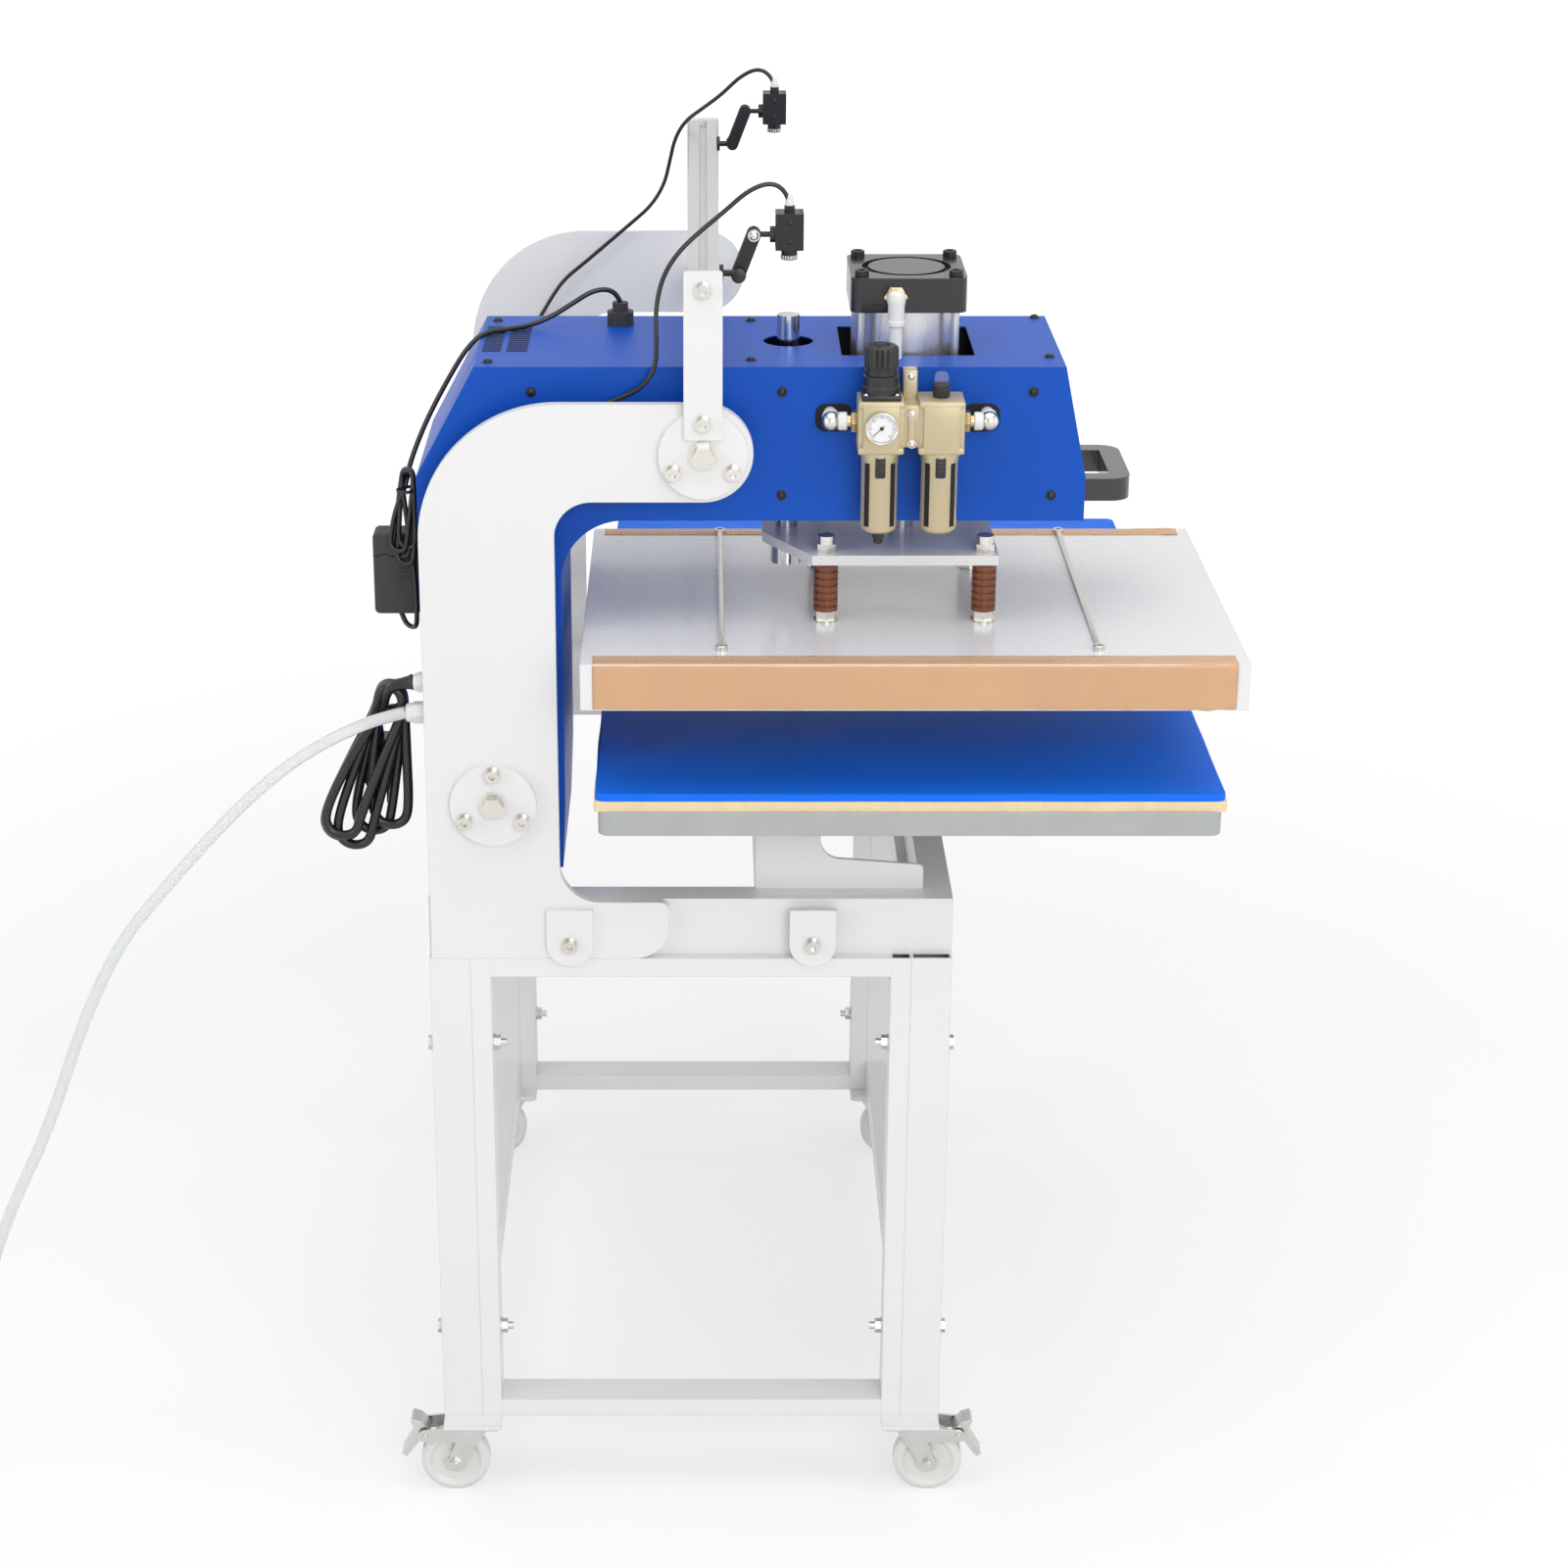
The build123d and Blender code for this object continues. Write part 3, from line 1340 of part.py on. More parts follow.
def cord(name, points, radius):
    radii = corner_radii(points)
    start = Vector(*points[0])
    with BuildPart() as tube:
        with BuildLine() as path:
            FilletPolyline(*points, radius=radii)
        with BuildSketch(Plane(start, z_dir=(Vector(*points[1]) - start).normalized())):
            Circle(radius)
        sweep()
    length = sum(edge.length for edge in path.edges())
    share = tube.part.volume / (pi * radius**2 * length)
    print(f"{name}: length {length:.0f} mm, volume share {share:.4f}, radii", [round(r) for r in radii])
    return tube.part


# Air hose, its coil on the floor and the coupler that lies on the coil
hose_route = [
    (fitting_x, column_rear_y + inlet_length, inlet_z),
    (-380, 406, 866),
    (-383, 433, 856),
    (-386, 464, 841),
    (-389, 500, 818),
    (-391, 541, 782),
    (-393, 584, 737),
    (-395, 628, 687),
    (-396, 664, 643),
    (-397, 693, 590),
    (-398, 719, 530),
    (-398, 741, 468),
    (-399, 764, 412),
    (-399, 789, 362),
    (-398, 812, 308),
    (-397, 833, 248),
    (-396, 856, 188),
    (-394, 885, 130),
    (-393, 920, 78),
    (-391, 962, 36),
    (-390, 1008, 12),
    (-390, 1050, 6),
]
save("air_hose", cord("air_hose", hose_route, hose_radius))

with BuildPart() as hose_coil:
    with BuildSketch(Plane.XY):
        with Locations(coil_centre):
            Circle(coil_radius + 2 * hose_radius)
            Circle(coil_radius - 2 * hose_radius, mode=Mode.SUBTRACT)
    extrude(amount=4 * hose_radius)
    chamfer(hose_coil.edges(), hose_radius / 2)
save("hose_coil", hose_coil.part)

with BuildPart() as hose_coupler:
    coupler_z = 4 * hose_radius + coupler_radius
    coupler_start = (coil_centre[0] + coil_radius, coil_centre[1] - coupler_length / 2, coupler_z)
    with BuildSketch(Plane(coupler_start, x_dir=(1, 0, 0), z_dir=(0, -1, 0))):
        Circle(coupler_radius * 0.8)
    extrude(amount=-coupler_length)
    with BuildSketch(Plane(coupler_start, x_dir=(1, 0, 0), z_dir=(0, -1, 0))):
        Circle(coupler_radius)
    extrude(amount=-coupler_length * 0.55)
save("hose_coupler", hose_coupler.part)

# Mains lead: from the gland into a tied hank, with the plug behind the hank
mains_route = [
    (fitting_x, column_rear_y + gland_length, gland_z),
    (-377, 385, 901),
    (-371, 396, 894),
    (-364, 402, 882),
    (-360, 404, 870),
]
save("mains_cord", cord("mains_cord", mains_route, mains_radius))

with BuildPart() as mains_hank:
    with BuildSketch(Plane.YZ.offset(mains_hank_x)):
        with BuildLine():
            FilletPolyline(
                (383, 889),
                (405, 891),
                (466, 742),
                (460, 722),
                (428, 724),
                (386, 738),
                radius=[6, 8, 30, 8, 20, 20],
                close=True,
            )
        make_face()
    extrude(amount=mains_hank_thickness / 2, both=True)
save("mains_hank", mains_hank.part)

plug_front_x = mains_hank_x + mains_hank_thickness / 2
with BuildPart() as mains_plug:
    with BuildSketch(Plane.YZ.offset(plug_front_x)):
        with Locations((412, 805)):
            RectangleRounded(30, 52, 8)
    extrude(amount=plug_thickness)
    with BuildSketch(Plane.XY.offset(779)):
        with Locations((plug_front_x + plug_thickness / 2, 405), (plug_front_x + plug_thickness / 2, 419)):
            Circle(2.4)
    extrude(amount=-19)
save("mains_plug", mains_plug.part)


# Laser leads: over the rail and down the gap between head and side plate
laser_cable_start_z = laser_mid_z + laser_body_height / 2 + laser_cap_height + laser_boot_clearance
near_laser_route = [
    (-laser_x, laser_mid_y, laser_cable_start_z),
    (-340.5, 17, 1368),
    (-341, 31, 1377),
    (-343, 52, 1370),
    (-346, 75, 1350),
    (-350, 98, 1332),
    (-356, 118, 1314),
    (-362, 132, 1292),
    (-368, 138, 1264),
    (-373, 137, 1236),
    (-375, 138, 1210),
    (-375, 150, 1192),
    (-375, 172, 1181),
    (-374, 196, 1173),
    (-374, 218, 1164),
    (-379, 231, 1158),
    (-plate_inner_x, 238, 1154),
]
far_laser_route = [
    (laser_x, laser_mid_y, laser_cable_start_z),
    (340.5, 18, 1368),
    (341, 33, 1376),
    (343, 53, 1366),
    (346, 73, 1346),
    (350, 94, 1330),
    (356, 114, 1315),
    (363, 126, 1294),
    (369, 132, 1266),
    (374, 138, 1240),
    (376, 153, 1215),
    (377, 176, 1195),
    (377, 203, 1172),
    (377, 229, 1150),
    (376, 254, 1130),
    (377, 268, 1110),
    (381, 277, 1094),
    (plate_inner_x, 283, 1083),
]
save("near_laser_cable", cord("near_laser_cable", near_laser_route, lead_radius))
save("far_laser_cable", cord("far_laser_cable", far_laser_route, lead_radius))

# Power adapter with its plug, and the lead tied in a bundle between them
adapter_route = [
    (socket_x, socket_y, head_top_z + adapter_plug_height),
    (-192, 178, 1239),
    (-194, 188, 1245),
    (-197, 203, 1243),
    (-201, 220, 1233),
    (-206, 240, 1221),
    (-213, 262, 1213),
    (-226, 286, 1212),
    (-244, 307, 1213),
    (-260, 322, 1201),
    (-276, 335, 1182),
    (-292, 348, 1161),
    (-308, 359, 1141),
    (-324, 368, 1121),
    (-337, 374, 1104),
    (-346, 377, 1088),
]
tail_route = [
    (-347, 371, 1012),
    (-347, 370, 985),
    (-346, 370, 962),
    (-341, 371, 948),
    (-334, 375, 943),
    (-329, 382, 945),
    (adapter_x, 386, 953),
    (adapter_x, 388, adapter_low_z),
]
save(
    "adapter_cord",
    cord("adapter_cord", adapter_route, adapter_cord_radius),
    cord("adapter_tail", tail_route, adapter_cord_radius),
)

with BuildPart() as adapter_hank:
    hank_mid_x = adapter_x - adapter_thickness / 2 - adapter_hank_thickness / 2
    with BuildSketch(Plane.YZ.offset(hank_mid_x)):
        with BuildLine():
            FilletPolyline(
                (367, 1108),
                (379, 1108),
                (394, 1050),
                (391, 1030),
                (379, 1002),
                (367, 1008),
                radius=[3, 3, 20, 10, 5, 3],
                close=True,
            )
        make_face()
    extrude(amount=adapter_hank_thickness / 2, both=True)
save("adapter_hank", adapter_hank.part)

with BuildPart() as adapter:
    with BuildSketch(Plane.YZ.offset(adapter_x)):
        with Locations(((adapter_front_y + adapter_rear_y) / 2, (adapter_low_z + adapter_high_z) / 2)):
            RectangleRounded(adapter_rear_y - adapter_front_y, adapter_high_z - adapter_low_z, adapter_corner)
    extrude(amount=adapter_thickness / 2, both=True)
    chamfer(adapter.edges().filter_by(Axis.Z), adapter_edge)
with BuildPart() as adapter_plug:
    with BuildSketch(Plane.XY.offset(head_top_z)):
        with Locations((socket_x, socket_y)):
            Circle(adapter_plug_radius)
    extrude(amount=adapter_plug_height * 0.6)
    with BuildSketch(Plane.XY.offset(head_top_z)):
        with Locations((socket_x, socket_y)):
            Circle(adapter_plug_radius * 0.6)
    extrude(amount=adapter_plug_height)
save("power_adapter", adapter.part, adapter_plug.part)
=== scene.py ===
"""Dual station heat press: looks, cords, pads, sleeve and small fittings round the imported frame.

Sizes are in metres in the frame's own axes: +X runs to the far table, the operator stands at -Y
and +Z is up. Each piece is built in place and rides on the body that carries it.
"""

from math import cos, pi, radians, sin, tau

import bmesh
import bpy
from mathutils import Matrix, Vector, noise


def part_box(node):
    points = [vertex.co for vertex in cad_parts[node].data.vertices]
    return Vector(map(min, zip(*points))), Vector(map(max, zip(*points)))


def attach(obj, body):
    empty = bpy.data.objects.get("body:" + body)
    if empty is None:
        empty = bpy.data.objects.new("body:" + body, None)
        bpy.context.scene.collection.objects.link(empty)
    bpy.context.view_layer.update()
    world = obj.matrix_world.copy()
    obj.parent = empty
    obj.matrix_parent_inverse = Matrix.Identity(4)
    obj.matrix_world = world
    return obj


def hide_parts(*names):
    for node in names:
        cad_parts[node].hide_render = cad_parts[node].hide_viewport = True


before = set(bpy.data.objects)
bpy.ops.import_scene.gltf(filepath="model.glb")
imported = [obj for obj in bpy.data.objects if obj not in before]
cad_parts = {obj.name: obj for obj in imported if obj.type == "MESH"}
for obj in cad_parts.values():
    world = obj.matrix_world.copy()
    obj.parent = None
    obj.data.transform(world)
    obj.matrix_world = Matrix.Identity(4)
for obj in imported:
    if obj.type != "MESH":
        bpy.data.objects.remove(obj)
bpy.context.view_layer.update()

# Places that the small fittings share
HEAD_NEAR_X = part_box("near_cover")[0].x
HEAD_TOP_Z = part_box("wrap_cover")[1].z
PLATEN_TOP_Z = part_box("upper_platen")[1].z
CAP_TOP_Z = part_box("cylinder_caps")[1].z
KNOB_LOW, KNOB_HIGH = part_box("regulator_knob")


# Materials
def look(name, color, roughness, metallic=0.0, coat=0.0, tone=0.06, tone_scale=9.0,
         grain=0.0, grain_scale=(900, 900, 900), spread=0.06, edge=0.0, edge_wear_and_painted_light=(1, 1, 1),
         shine=0.5):
    """Procedural material: slow tone change, fine grain in bump and gloss, and edges mixed toward a
    second colour, partly wear and partly painted edge highlight and shade.
    """
    made = bpy.data.materials.new(name)
    made.use_nodes = True
    nodes, link = made.node_tree.nodes, made.node_tree.links.new
    shader = nodes["Principled BSDF"]
    shader.inputs["Metallic"].default_value = metallic
    shader.inputs["Coat Weight"].default_value = coat
    shader.inputs["Specular IOR Level"].default_value = shine
    place = nodes.new("ShaderNodeTexCoord").outputs["Object"]

    cloud = nodes.new("ShaderNodeTexNoise")
    cloud.inputs["Scale"].default_value = tone_scale
    cloud.inputs["Detail"].default_value = 6
    link(place, cloud.inputs["Vector"])
    shade = nodes.new("ShaderNodeMix")
    shade.data_type = "RGBA"
    link(cloud.outputs["Fac"], shade.inputs[0])
    shade.inputs[6].default_value = (*[c * (1 - tone) for c in color], 1)
    shade.inputs[7].default_value = (*[min(1, c * (1 + tone)) for c in color], 1)
    painted = shade.outputs[2]

    stretch = nodes.new("ShaderNodeMapping")
    stretch.inputs["Scale"].default_value = grain_scale
    link(place, stretch.inputs["Vector"])
    fine = nodes.new("ShaderNodeTexNoise")
    fine.inputs["Scale"].default_value = 1.0
    fine.inputs["Detail"].default_value = 3
    link(stretch.outputs["Vector"], fine.inputs["Vector"])
    gloss = nodes.new("ShaderNodeMapRange")
    gloss.inputs["From Min"].default_value = 0.3
    gloss.inputs["From Max"].default_value = 0.7
    gloss.inputs["To Min"].default_value = max(0.02, roughness - spread)
    gloss.inputs["To Max"].default_value = roughness + spread
    link(fine.outputs["Fac"], gloss.inputs["Value"])
    link(gloss.outputs["Result"], shader.inputs["Roughness"])

    bump = nodes.new("ShaderNodeBump")
    bump.inputs["Distance"].default_value = grain
    bump.inputs["Strength"].default_value = 1.0 if grain else 0.0
    link(fine.outputs["Fac"], bump.inputs["Height"])
    link(bump.outputs["Normal"], shader.inputs["Normal"])
    # Edges: the bevel normal rounds their shading, and the mix below paints them toward the edge
    # colour, partly wear and partly a painted highlight (lighter edge colours) and painted shade
    # (darker edge colours).
    if edge:
        soft = nodes.new("ShaderNodeBevel")
        soft.inputs["Radius"].default_value = edge
        link(soft.outputs["Normal"], bump.inputs["Normal"])
        flat = nodes.new("ShaderNodeNewGeometry")
        facing = nodes.new("ShaderNodeVectorMath")
        facing.operation = "DOT_PRODUCT"
        link(soft.outputs["Normal"], facing.inputs[0])
        link(flat.outputs["True Normal"], facing.inputs[1])
        edge_wear_and_light_mask = nodes.new("ShaderNodeMapRange")
        edge_wear_and_light_mask.inputs["From Min"].default_value = 1.0
        edge_wear_and_light_mask.inputs["From Max"].default_value = 0.8
        edge_wear_and_light_mask.inputs["To Max"].default_value = 0.6
        link(facing.outputs["Value"], edge_wear_and_light_mask.inputs["Value"])
        edge_wear_and_light_mix = nodes.new("ShaderNodeMix")
        edge_wear_and_light_mix.data_type = "RGBA"
        link(edge_wear_and_light_mask.outputs["Result"], edge_wear_and_light_mix.inputs[0])
        link(painted, edge_wear_and_light_mix.inputs[6])
        edge_wear_and_light_mix.inputs[7].default_value = (*edge_wear_and_painted_light, 1)
        painted = edge_wear_and_light_mix.outputs[2]
    link(painted, shader.inputs["Base Color"])
    return made


# Each edge colour below is partly wear and partly painted edge light: a painted highlight where it
# is lighter than the body, painted shade where it is darker.
WHITE = look("white_powder", (0.79, 0.79, 0.79), 0.34, tone=0.02, grain=0.00003, edge=0.0012,
             edge_wear_and_painted_light=(0.60, 0.60, 0.60))
BLUE = look("blue_powder", (0.003, 0.078, 0.47), 0.42, tone=0.10, tone_scale=4, grain=0.00004,
            edge=0.0010, edge_wear_and_painted_light=(0.02, 0.16, 0.62), shine=0.22)
PLATEN_WHITE = look("platen_enamel", (0.78, 0.78, 0.78), 0.26, tone=0.05, tone_scale=5, coat=0.2,
                    grain=0.00002, edge=0.0015, edge_wear_and_painted_light=(0.86, 0.86, 0.86))
PLATE_WHITE = look("pressure_plate_enamel", (0.72, 0.72, 0.72), 0.30, tone=0.03, grain=0.00003,
                   edge=0.0008, edge_wear_and_painted_light=(0.45, 0.45, 0.45))
SCREW = look("bright_nickel", (0.62, 0.60, 0.56), 0.20, 1.0, tone=0.12, tone_scale=60,
             grain=0.00002, edge=0.0005, edge_wear_and_painted_light=(0.85, 0.84, 0.80))
ZINC = look("zinc_plate", (0.62, 0.62, 0.60), 0.30, 1.0, tone=0.14, tone_scale=40, grain=0.00002,
            edge=0.0005, edge_wear_and_painted_light=(0.85, 0.85, 0.84))
SHAFT = look("ground_chrome", (0.70, 0.70, 0.71), 0.12, 1.0, tone=0.03,
             grain=0.00001, grain_scale=(3000, 60, 60), spread=0.03)
ROD = look("ground_rod", (0.66, 0.66, 0.67), 0.14, 1.0, tone=0.03,
           grain=0.00001, grain_scale=(60, 60, 3000), spread=0.03)
RAIL = look("rail_anodised", (0.60, 0.60, 0.61), 0.36, 0.75, tone=0.03,
            grain=0.00002, grain_scale=(12, 1400, 1400), edge=0.0004, edge_wear_and_painted_light=(0.8, 0.8, 0.8))
TRAY = look("tray_brushed", (0.40, 0.41, 0.42), 0.42, 0.55, tone=0.10, tone_scale=30,
            grain=0.00006, grain_scale=(700, 700, 18), spread=0.12, edge=0.001,
            edge_wear_and_painted_light=(0.62, 0.62, 0.63))
BARREL = look("barrel_anodised", (0.58, 0.58, 0.60), 0.30, 0.85, tone=0.03,
              grain=0.00001, grain_scale=(900, 900, 20))
BLACK_METAL = look("black_oxide", (0.012, 0.012, 0.013), 0.34, 0.3, tone=0.3, tone_scale=80,
                   grain=0.00003, edge=0.0004, edge_wear_and_painted_light=(0.10, 0.10, 0.10))
BLACK_PLASTIC = look("black_plastic", (0.010, 0.010, 0.011), 0.36, tone=0.2, tone_scale=30,
                     grain=0.00005, grain_scale=(1400, 1400, 1400), edge=0.0006,
                     edge_wear_and_painted_light=(0.04, 0.04, 0.04))
CAP_BLACK = look("cap_black", (0.012, 0.012, 0.013), 0.30, 0.2, coat=0.3, tone=0.2, tone_scale=40,
                 grain=0.00008, grain_scale=(700, 700, 700), edge=0.0012,
                 edge_wear_and_painted_light=(0.09, 0.09, 0.09))
GRIP = look("grip_black", (0.008, 0.008, 0.009), 0.22, coat=0.4, tone=0.2, grain=0.00002,
            edge=0.002, edge_wear_and_painted_light=(0.05, 0.05, 0.05))
SPRING = look("spring_enamel", (0.20, 0.065, 0.030), 0.36, 0.35, tone=0.25, tone_scale=50,
              grain=0.00004, edge=0.0006, edge_wear_and_painted_light=(0.42, 0.20, 0.12))
CREAM = look("cream_felt", (0.86, 0.70, 0.42), 0.92, tone=0.10, tone_scale=60,
             grain=0.0005, grain_scale=(1500, 1500, 3000))
PAD_BLUE = look("pad_blue", (0.003, 0.155, 0.86), 0.55, tone=0.05, tone_scale=6,
                grain=0.00010, grain_scale=(1800, 1800, 1800), shine=0.2)
AIR_BEIGE = look("air_beige", (0.52, 0.44, 0.28), 0.38, 0.35, tone=0.06, tone_scale=25,
                 grain=0.00005, edge=0.0006, edge_wear_and_painted_light=(0.72, 0.65, 0.48))
NYLON = look("white_nylon", (0.76, 0.76, 0.74), 0.42, tone=0.03, tone_scale=30,
             grain=0.00004, edge=0.0008, edge_wear_and_painted_light=(0.88, 0.88, 0.87))
BRASS = look("nickel_brass", (0.56, 0.44, 0.24), 0.26, 1.0, tone=0.14, tone_scale=60,
             grain=0.00003, edge=0.0005, edge_wear_and_painted_light=(0.82, 0.72, 0.50))
JACKET = look("black_jacket", (0.010, 0.010, 0.010), 0.30, tone=0.25, tone_scale=60,
              grain=0.00006, grain_scale=(500, 500, 500))
ADAPTER = look("adapter_case", (0.030, 0.030, 0.031), 0.60, tone=0.08, tone_scale=20,
               grain=0.00010, grain_scale=(2200, 2200, 2200), edge=0.0008,
               edge_wear_and_painted_light=(0.10, 0.10, 0.10))
# Near-black for the vents, the cover openings and the guard slits is painted shade inside openings
# that are not cut; on the adapter it is the dark seam of the split line.
OPENING_SHADE_AND_SEAM = look("opening_shade_and_seam", (0.006, 0.006, 0.007), 0.85, tone=0.2, grain=0.00005)
DIAL = look("dial_face", (0.82, 0.83, 0.83), 0.40, tone=0.03, tone_scale=90, grain=0.00001)
RED = look("needle_red", (0.45, 0.02, 0.02), 0.40, tone=0.1, grain=0.00001)
THREAD = look("stitch_thread", (0.66, 0.48, 0.30), 0.80, tone=0.2, tone_scale=300, grain=0.0001)
PRIMER = look("carriage_primer", (0.03, 0.03, 0.033), 0.55, tone=0.2, grain=0.00006, edge=0.001,
              edge_wear_and_painted_light=(0.10, 0.10, 0.10))


def hose_look():
    """Milky clear polyurethane."""
    made = look("clear_hose", (0.86, 0.88, 0.87), 0.16, coat=0.3, tone=0.03, tone_scale=20,
                grain=0.00002)
    shader = made.node_tree.nodes["Principled BSDF"]
    shader.inputs["Transmission Weight"].default_value = 0.35
    shader.inputs["IOR"].default_value = 1.3
    shader.inputs["Subsurface Weight"].default_value = 0.25
    shader.inputs["Subsurface Scale"].default_value = 0.004
    return made


def glass_look():
    """Clear plastic of the sight dome."""
    made = look("clear_lens", (0.95, 0.95, 0.95), 0.05, tone=0.01, grain=0.0)
    shader = made.node_tree.nodes["Principled BSDF"]
    shader.inputs["Transmission Weight"].default_value = 0.92
    shader.inputs["IOR"].default_value = 1.1
    return made


def weave_look(name, color, pitch):
    """Coated glass cloth: a plain weave under a smooth, warm coat."""
    made = look(name, color, 0.34, coat=0.25, tone=0.10, tone_scale=14, grain=0.00002)
    nodes, link = made.node_tree.nodes, made.node_tree.links.new
    place = nodes.new("ShaderNodeTexCoord").outputs["Object"]
    height = None
    for turn in ((0, 0, 0), (0, 0, pi / 2)):
        spun = nodes.new("ShaderNodeMapping")
        spun.inputs["Rotation"].default_value = turn
        link(place, spun.inputs["Vector"])
        band = nodes.new("ShaderNodeTexWave")
        band.inputs["Scale"].default_value = 1 / pitch / 3
        band.inputs["Distortion"].default_value = 0.4
        link(spun.outputs["Vector"], band.inputs["Vector"])
        if height is None:
            height = band.outputs["Fac"]
        else:
            both = nodes.new("ShaderNodeMath")
            both.operation = "ADD"
            link(height, both.inputs[0])
            link(band.outputs["Fac"], both.inputs[1])
            height = both.outputs["Value"]
    weave = nodes.new("ShaderNodeBump")
    weave.inputs["Distance"].default_value = 0.00006
    link(height, weave.inputs["Height"])
    under = next(node for node in nodes if node.type == "BUMP" and node != weave)
    link(weave.outputs["Normal"], under.inputs["Normal"])
    return made


HOSE = hose_look()
LENS = glass_look()
SLEEVE = weave_look("sleeve_cloth", (0.62, 0.36, 0.19), 0.0009)

NODE_LOOKS = {
    WHITE: ("stand_side_frames", "stand_end_frames", "base_frame", "near_side_plate",
            "far_side_plate", "shaft_flanges", "laser_posts", "pedestals"),
    SCREW: ("plate_screws", "spring_bolts"),
    ZINC: ("frame_bolts", "caster_plates"),
    SHAFT: ("guide_shafts",),
    RAIL: ("laser_rail",),
    BLACK_METAL: ("laser_clamps", "near_laser_arm", "far_laser_arm", "near_laser", "far_laser"),
    TRAY: ("lower_trays",),
    BLUE: ("near_cover", "far_cover", "wrap_cover"),
    PRIMER: ("head_carriage",),
    BARREL: ("cylinder",),
    CAP_BLACK: ("cylinder_caps",),
    ROD: ("press_rods",),
    PLATE_WHITE: ("pressure_plate",),
    SPRING: ("press_springs",),
    PLATEN_WHITE: ("upper_platen",),
    GRIP: ("head_handle",),
    BLACK_PLASTIC: ("regulator_knob", "mains_plug"),
    NYLON: ("inlet_fittings",),
    BRASS: ("hose_coupler",),
    ADAPTER: ("power_adapter",),
}
CORNERS = [f"{end}_{row}" for end in ("near", "far") for row in ("rear", "front")]
for corner in CORNERS:
    NODE_LOOKS[ZINC] += (f"caster_fork_{corner}", f"brake_pedal_{corner}")
    NODE_LOOKS[NYLON] += (f"caster_wheel_{corner}",)
for paint, names in NODE_LOOKS.items():
    for name in names:
        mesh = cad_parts[name].data
        mesh.materials.clear()
        mesh.materials.append(paint)
        mesh.polygons.foreach_set("material_index", [0] * len(mesh.polygons))


# Builders: a slab's fineness and waves, and a thumb nut's ridges
CORNER_STEPS = 8
SIDE_STEPS = 24
WAVES_PER_METRE = 14
RIDGE_RISE = 1.09


def finished(name, shape, paint, body, place=(0, 0, 0), toward=(0, 0, 1), sharp=32):
    """Set a bmesh in place, with its own Z along toward, and let it ride on a body."""
    aim = Matrix.Identity(4)
    if tuple(toward) != (0, 0, 1):
        aim = Vector(toward).to_track_quat("Z", "Y").to_matrix().to_4x4()
    shape.transform(Matrix.Translation(place) @ aim)
    bmesh.ops.recalc_face_normals(shape, faces=shape.faces)
    mesh = bpy.data.meshes.new(name)
    shape.to_mesh(mesh)
    shape.free()
    mesh.shade_smooth()
    mesh.set_sharp_from_angle(angle=radians(sharp))
    mesh.materials.append(paint)
    piece = bpy.data.objects.new(name, mesh)
    bpy.context.scene.collection.objects.link(piece)
    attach(piece, body)
    return piece


def turned(profile, steps=48, shape=None, place=(0, 0, 0)):
    """Revolved shape from rows of (radius, height), with a third value for a polygon's sides."""
    shape = shape or bmesh.new()
    loops = []
    for row in profile:
        radius, height = row[:2]
        sides = row[2] if len(row) > 2 else 0
        if radius == 0:
            loops.append([shape.verts.new(Vector(place) + Vector((0, 0, height)))])
            continue
        loop = []
        for step in range(steps):
            angle = tau * step / steps
            reach = radius / cos(angle % (tau / sides) - pi / sides) if sides else radius
            spot = Vector((reach * cos(angle), reach * sin(angle), height))
            loop.append(shape.verts.new(Vector(place) + spot))
        loops.append(loop)
    for low, high in zip(loops, loops[1:]):
        for step in range(steps):
            after = (step + 1) % steps
            ring = [low[step], low[after]] if len(low) > 1 else [low[0]]
            ring += [high[after], high[step]] if len(high) > 1 else [high[0]]
            if len(ring) > 2:
                shape.faces.new(ring)
    return shape


def block(size, edge=0.001, segments=2, place=(0, 0, 0), shape=None):
    """Box with rounded edges."""
    shape = shape or bmesh.new()
    made = bmesh.ops.create_cube(shape, size=1.0)["verts"]
    bmesh.ops.scale(shape, vec=size, verts=made)
    bmesh.ops.translate(shape, vec=place, verts=made)
    edges = list({edge for vert in made for edge in vert.link_edges})
    bmesh.ops.bevel(shape, geom=edges, offset=edge, segments=segments, profile=0.5,
                    affect="EDGES")
    return shape


